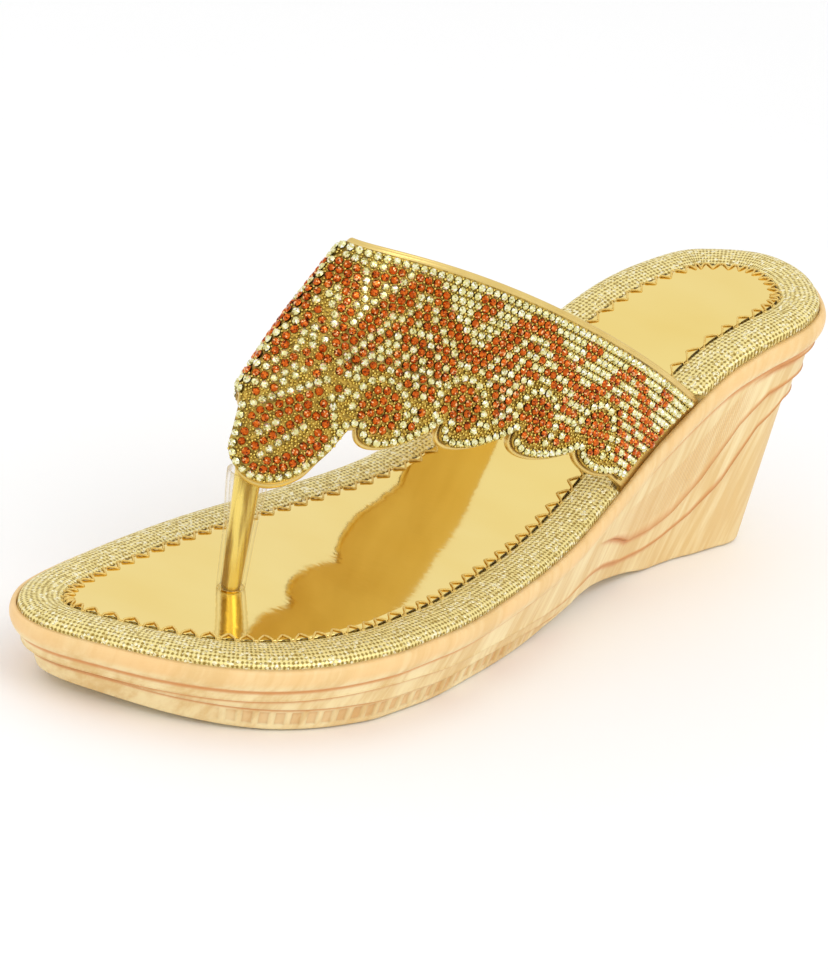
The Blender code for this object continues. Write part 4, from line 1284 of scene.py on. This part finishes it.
# %% The zigzag, its nested rows and the crystals round it
def in_triangle(u, w, spots, from_back):
    """Whether places lie in one of the small copper triangles at the back edge."""
    half = TRIANGLE_HALF * (1 - (from_back - TRIANGLE_BACK) / TRIANGLE_HEIGHT)
    found = np.zeros(u.shape, bool)
    for place in TRIANGLES:
        found |= np.linalg.norm(spots - on_top(place, w), axis=1) < half
    return found & (from_back > TRIANGLE_BACK) & (from_back < TRIANGLE_END)


def field_kinds(tree, u, w):
    spots = on_top(u, w)
    distance = gap_to(tree, spots)
    from_back = (1 - w) * strap_width(u)
    nested = np.where(((distance - BAND_HALF) / ROW_PITCH).astype(int) % 2 == 0, CRYSTAL, COPPER)
    behind = np.where(in_triangle(u, w, spots, from_back), COPPER, CRYSTAL)
    kinds = np.where(w > np.interp(u, *np.transpose(ZIGZAG)), behind, nested)
    return np.where(from_back < TRIANGLE_BACK, CRYSTAL, np.where(distance < BAND_HALF, COPPER, kinds))


def set_field(setting):
    tree = spot_tree(on_top(*corner_path(ZIGZAG, 39 * (len(ZIGZAG) - 1) + 1)))
    for row in range(FIELD_ROWS):
        depth = PANEL_BACK_MARGIN + STONE_RADIUS + 0.1 + row * ROW_PITCH
        u, w, run = row_behind(depth, 900, 6)
        shift = STONE_PITCH * (row % 2) / 2 + np.interp(0.0, u, run) % STONE_PITCH
        u, w = at_runs(u, w, run, np.arange(shift, run[-1], STONE_PITCH))
        setting.add(u, w, field_kinds(tree, u, w), CLOSER)


setting = Setting()
for fill_in in (set_edges, set_drop_rows, set_medallions, set_field):
    fill_in(setting)
    print(len(setting.kind), "stones after", fill_in.__name__)
KINDS, STONE_U, STONE_W = (np.array(values) for values in (setting.kind, setting.u, setting.w))
STONE_TREE = spot_tree(setting.spots[:len(KINDS)])

# %% [markdown]
# ## Cutting and setting the stones
# A stone has a flat table, a ring of facets round it and a straight girdle that sits
# in its cup. A cut stone throws light back from some facets and looks dark in others;
# here that is painted light: each facet gets a painted brightness, from painted shade
# to a painted glint, and the girdle gets painted shade.

# %% A cut stone, repeated
STONE_SIDES = 8
# Each level's radius in stone radii, its height in millimetres and its turn in sides
STONE = ((1.00, 0.0, 0.0), (1.00, 0.42, 0.0), (0.56, 0.95, 0.5))


def level_ring(middle, radius, angles):
    """Points of a level circle round a middle."""
    return np.asarray(middle) + radius * np.stack([np.cos(angles), np.sin(angles), 0 * angles], -1)


def stone_shape():
    n = STONE_SIDES
    points = [level_ring((0.0, 0.0, height), radius * STONE_RADIUS, circle(n) + turn * 2 * math.pi / n)
              for radius, height, turn in STONE]
    points.append([(0.0, 0.0, STONE[-1][1] + 0.02)])
    sides = [(k, (k + 1) % n) for k in range(n)]
    faces = [(k, m, n + m, n + k) for k, m in sides]
    for k, m in sides:
        faces += [(n + k, n + m, 2 * n + k), (n + m, 2 * n + m, 2 * n + k)]
    faces += [(2 * n + k, 2 * n + m, 3 * n) for k, m in sides]
    return np.concatenate(points), faces


def repeated(shape, faces, u, w, lift, spin, tilt, scale):
    """The same small shape at many places on the strap, each turned and tilted a little."""
    out = strap_normal(u, w)
    side = unit(strap_slopes(u, w)[0])
    back = np.cross(out, side)
    out = unit(out + side * tilt[:, :1] + back * tilt[:, 1:])
    side = unit(np.cross(back, out))
    back = np.cross(out, side)
    c, s = np.cos(spin)[:, None], np.sin(spin)[:, None]
    axes = np.stack([side * c + back * s, back * c - side * s, out], 1)
    points = strap_point(u, w, lift)[:, None] + (shape @ axes) * scale[:, None, None]
    stride = len(shape)
    all_faces = [tuple(k * stride + i for i in face) for k in range(len(u)) for face in faces]
    return points.reshape(-1, 3), all_faces


def make_stones(name, kind, finish, seed):
    rng = np.random.default_rng(seed)
    u, w = STONE_U[KINDS == kind], STONE_W[KINDS == kind]
    shape, faces = stone_shape()
    count = len(u)
    points, all_faces = repeated(shape, faces, u, w, MAT_TOP - 0.05, rng.uniform(0, 6.28, count),
                                 rng.normal(0, 0.05, (count, 2)), rng.uniform(0.94, 1.04, count))
    # Painted light on every facet: a random painted brightness, and -1 for painted shade on the girdle
    painted_facet_light = rng.uniform(0.0, 1.0, (count, len(faces)))
    painted_facet_light[:, :STONE_SIDES] = -1.0
    marks = np.repeat(painted_facet_light, [len(face) for face in faces], axis=1).ravel()
    print(count, name)
    piece(name, points, all_faces, finish, "stone_field", corner_marks={"painted_facet_light": marks}, flat=True)


def stone_finish(name, dark, shade, body, painted_highlight, painted_glint):
    """Facets go from painted shade over the stone's own colour to a painted glint; the girdle gets
    painted shade.
    """
    paint = Paint(name)
    painted_facet_light = paint.mark("painted_facet_light")
    colour = paint.mix(painted_facet_light.between(0.08, 0.20), shade, body)
    colour = paint.mix(painted_facet_light.between(0.55, 0.75), colour, painted_highlight)
    colour = paint.mix(painted_facet_light.between(0.88, 0.94), colour, painted_glint)
    colour = paint.mix(painted_facet_light.between(-0.6, -0.2), dark, colour)
    return paint.finish(Base_Color=colour, Metallic=0.75, Roughness=0.16)


# Colours: painted girdle shade, painted dark facets, own colour, painted highlight, painted glint
make_stones("copper_stones", COPPER, stone_finish(
    "copper_stone", (50, 22, 4), (102, 34, 4), (194, 84, 10), (226, 116, 28), (255, 200, 140)), 11)
make_stones("champagne_stones", CRYSTAL, stone_finish(
    "champagne_stone", (98, 84, 30), (160, 148, 78), (228, 220, 152), (246, 242, 202),
    (255, 255, 248)), 12)

# %% [markdown]
# ## Beads between the stones
# The gaps between the stones are filled with tiny gold balls. They could be set by
# hand, but any place that is far enough from every stone will do. Six places round
# each stone are tried first, and then a fine grid over the whole strap.

# %% Gold beads
BEAD_RADIUS, BEAD_PITCH, BEAD_RING = 0.37, 0.79, 1.33
BEAD_ROW, BEAD_MARGIN = BEAD_PITCH * 0.87, 0.35
DEEPEST_ROW = 74.0


def small_ball():
    ball = bmesh.new()
    bmesh.ops.create_icosphere(ball, subdivisions=1, radius=BEAD_RADIUS)
    points = np.array([vertex.co[:] for vertex in ball.verts])
    faces = [tuple(vertex.index for vertex in face.verts) for face in ball.faces]
    ball.free()
    return points, faces


def keep_apart(spots, apart):
    """Which of the spots can stay, taken in turn, when each keeps a distance from all before it."""
    cells, kept = {}, []
    neighbours = [(i, j, k) for i in (-1, 0, 1) for j in (-1, 0, 1) for k in (-1, 0, 1)]
    for number, spot in enumerate(spots):
        x, y, z = (int(v) for v in spot // apart)
        near = [other for i, j, k in neighbours for other in cells.get((x + i, y + j, z + k), ())]
        if all(math.dist(spot, other) >= apart for other in near):
            cells.setdefault((x, y, z), []).append(tuple(spot))
            kept.append(number)
    return np.array(kept)


def bead_places():
    found = [walk(STONE_U, STONE_W, BEAD_RING * math.cos(angle), BEAD_RING * math.sin(angle))
             for angle in math.pi / 3 * (np.arange(6) + 0.5)]
    for row in range(int(DEEPEST_ROW / BEAD_ROW)):
        u, w, run = row_behind(PANEL_BACK_MARGIN + 0.45 + row * BEAD_ROW, 700, 4)
        found.append(at_runs(u, w, run, np.arange(0.4 + row % 2 * BEAD_PITCH / 2, run[-1], BEAD_PITCH)))
    return np.concatenate(found, axis=1)


def make_beads(finish):
    u, w = bead_places()
    keep = (np.abs(u) < PANEL_END - 0.003) & (w > front_edge(u, PANEL_FRONT_MARGIN + BEAD_MARGIN))
    keep &= w < 1 - (PANEL_BACK_MARGIN + BEAD_MARGIN) / strap_width(u)
    u, w = u[keep], w[keep]
    keep = gap_to(STONE_TREE, on_top(u, w)) > STONE_RADIUS + BEAD_RADIUS * 0.5
    u, w = u[keep], w[keep]
    keep = keep_apart(on_top(u, w), BEAD_PITCH * 0.86)
    u, w = u[keep], w[keep]
    rng = np.random.default_rng(21)
    points, faces = repeated(*small_ball(), u, w, MAT_TOP + 0.25, rng.uniform(0, 6.28, len(u)),
                             np.zeros((len(u), 2)), rng.uniform(0.85, 1.08, len(u)))
    print(len(u), "beads")
    piece("gold_beads", points, faces, finish, "stone_field")


def bead_finish():
    paint = Paint("gold_bead")
    return paint.finish(Base_Color=paint.mix(paint.noise(700.0, 1.0), (206, 170, 60), (250, 228, 128)),
                        Metallic=0.95, Roughness=0.2)


make_beads(bead_finish())

# %% [markdown]
# ## The toe post
# Gold foil rolled into a post, in a clear tube that widens towards the strap. The
# tube has an inner and an outer wall. Glass that bends light would do for it, but a
# see-through finish is as clear at this size and renders without dark rings.

# %% Post and tube
POST_SIDES = 40
TUBE_FLARE, FLARE_START = 0.7, 0.45
POST_FOOT = np.array([POST_ALONG * SOLE_LENGTH, POST_ACROSS * BALL_WIDTH,
                      float(rim_z(POST_ALONG) + FOIL_LIFT + heel_pad(POST_ALONG))])
POST_HEAD = strap_point(POST_HEAD_PLACE, POST_HEAD_ACROSS,
                        -(STRAP_THICKNESS / 2 + POST_TOP_RADIUS + POST_SET_BACK))
DROP_TIP = strap_point(POST_HEAD_PLACE, front_edge(POST_HEAD_PLACE, 0.0))
SLEEVE_TOP = (DROP_TIP[2] - SLEEVE_GAP - POST_FOOT[2]) / (POST_HEAD[2] - POST_FOOT[2])
print("post is %.1f mm long" % np.linalg.norm(POST_HEAD - POST_FOOT))


def post_ring(share, extra=0.0):
    radius = POST_RADIUS + (POST_TOP_RADIUS - POST_RADIUS) * share + extra
    return level_ring(POST_FOOT + (POST_HEAD - POST_FOOT) * share, radius, circle(POST_SIDES))


def head_ring(gap):
    """The post's end, laid against the inside of the strap."""
    sizes = [np.linalg.norm(step) for step in strap_slopes(POST_HEAD_PLACE, POST_HEAD_ACROSS)]
    u = POST_HEAD_PLACE + POST_TOP_RADIUS * np.sin(circle(POST_SIDES)) / sizes[0]
    w = POST_HEAD_ACROSS - POST_TOP_RADIUS * np.cos(circle(POST_SIDES)) / sizes[1]
    return strap_point(u, w, -(STRAP_THICKNESS / 2 + gap))


def make_post(finish):
    rings = [post_ring(share) for share in (0.004, *np.linspace(0.03, SLEEVE_TOP, 12))]
    last, head = rings[-1], head_ring(0.3)
    for t in (0.25, 0.5, 0.75, 1.0):
        ring = last + (head - last) * t
        rings.append(ring.mean(0) + (ring - ring.mean(0)) * (1 + 0.10 * math.sin(math.pi * t)))
    faces = turned(closed_rings(len(rings), POST_SIDES)) + ring_caps(len(rings), POST_SIDES)
    piece("post_core", np.concatenate(rings), faces, finish, "gold_foil", node="toe_post")


def make_tube(finish):
    levels = np.linspace(CLEARANCE / (POST_HEAD[2] - POST_FOOT[2]), SLEEVE_TOP, 10)
    rings = [post_ring(level, CLEARANCE + wall + TUBE_FLARE * ramp(FLARE_START, 1.0, level / SLEEVE_TOP))
             for wall, order in ((SLEEVE_WALL, 1), (0.0, -1)) for level in levels[::order]]
    faces = turned(closed_rings(len(rings), POST_SIDES, wrap=True))
    piece("clear_tube", np.concatenate(rings), faces, finish, "clear_plastic", node="post_sleeve")


def post_finish():
    paint = Paint("gold_foil")
    # Vertical streaks of painted highlight and painted shade, for the reflections in the crumpled foil
    painted_streak_light = paint.noise(420.0, stretch=(1.0, 1.0, 0.06)).between(0.36, 0.62)
    return paint.finish(Base_Color=paint.mix(painted_streak_light, (158, 118, 30), (250, 222, 118)), Metallic=1.0,
                        Roughness=0.2 + painted_streak_light * 0.08)


def tube_finish():
    """Nearly clear where it's looked through, and whiter at its edges: a painted sheen, more opaque
    edge-on.
    """
    paint = Paint("clear_plastic")
    haze = paint.noise(200.0)
    # Painted sheen: the pale tube is more opaque where it is seen edge-on
    facing = paint.node("ShaderNodeLayerWeight", {}, {"Blend": 0.5}, "Facing")
    return paint.finish(Base_Color=tone(246, 226, 160), Roughness=0.04 + haze * 0.05,
                        Alpha=facing.between(0.45, 1.0) * 0.55 + 0.05)


make_post(post_finish())
make_tube(tube_finish())

# %% [markdown]
# ## The folded gold edges
# The backing leather is turned over at the edge. It shows as a thin roll along the
# strap's back edge and as a thicker one under the drop over the post.

# %% Rolled edges
ROLL_TAPER = 0.04


def make_roll(name, start, end, out, lift, radius, spacing, back_edge):
    places = strap_places(1.0, spacing)
    places = places[(places >= start) & (places <= end)]
    if back_edge:
        across, taper = 1 + out / strap_width(places), 1.0
    else:
        across = front_edge(places, -out)
        taper = np.minimum(ramp(0, ROLL_TAPER, places - start), ramp(0, ROLL_TAPER, end - places))
    path = strap_point(places, across, lift)
    piece(name, *tube_mesh(path, radius * (0.25 + 0.75 * taper), 10), GOLD, "gold_leather")


make_roll("back_roll", -0.985, 0.985, 0.1, 0.25, 0.55, 1.2, True)
make_roll("drop_roll", 0.06, 0.32, 0.5, -0.1, 0.95, 0.9, False)
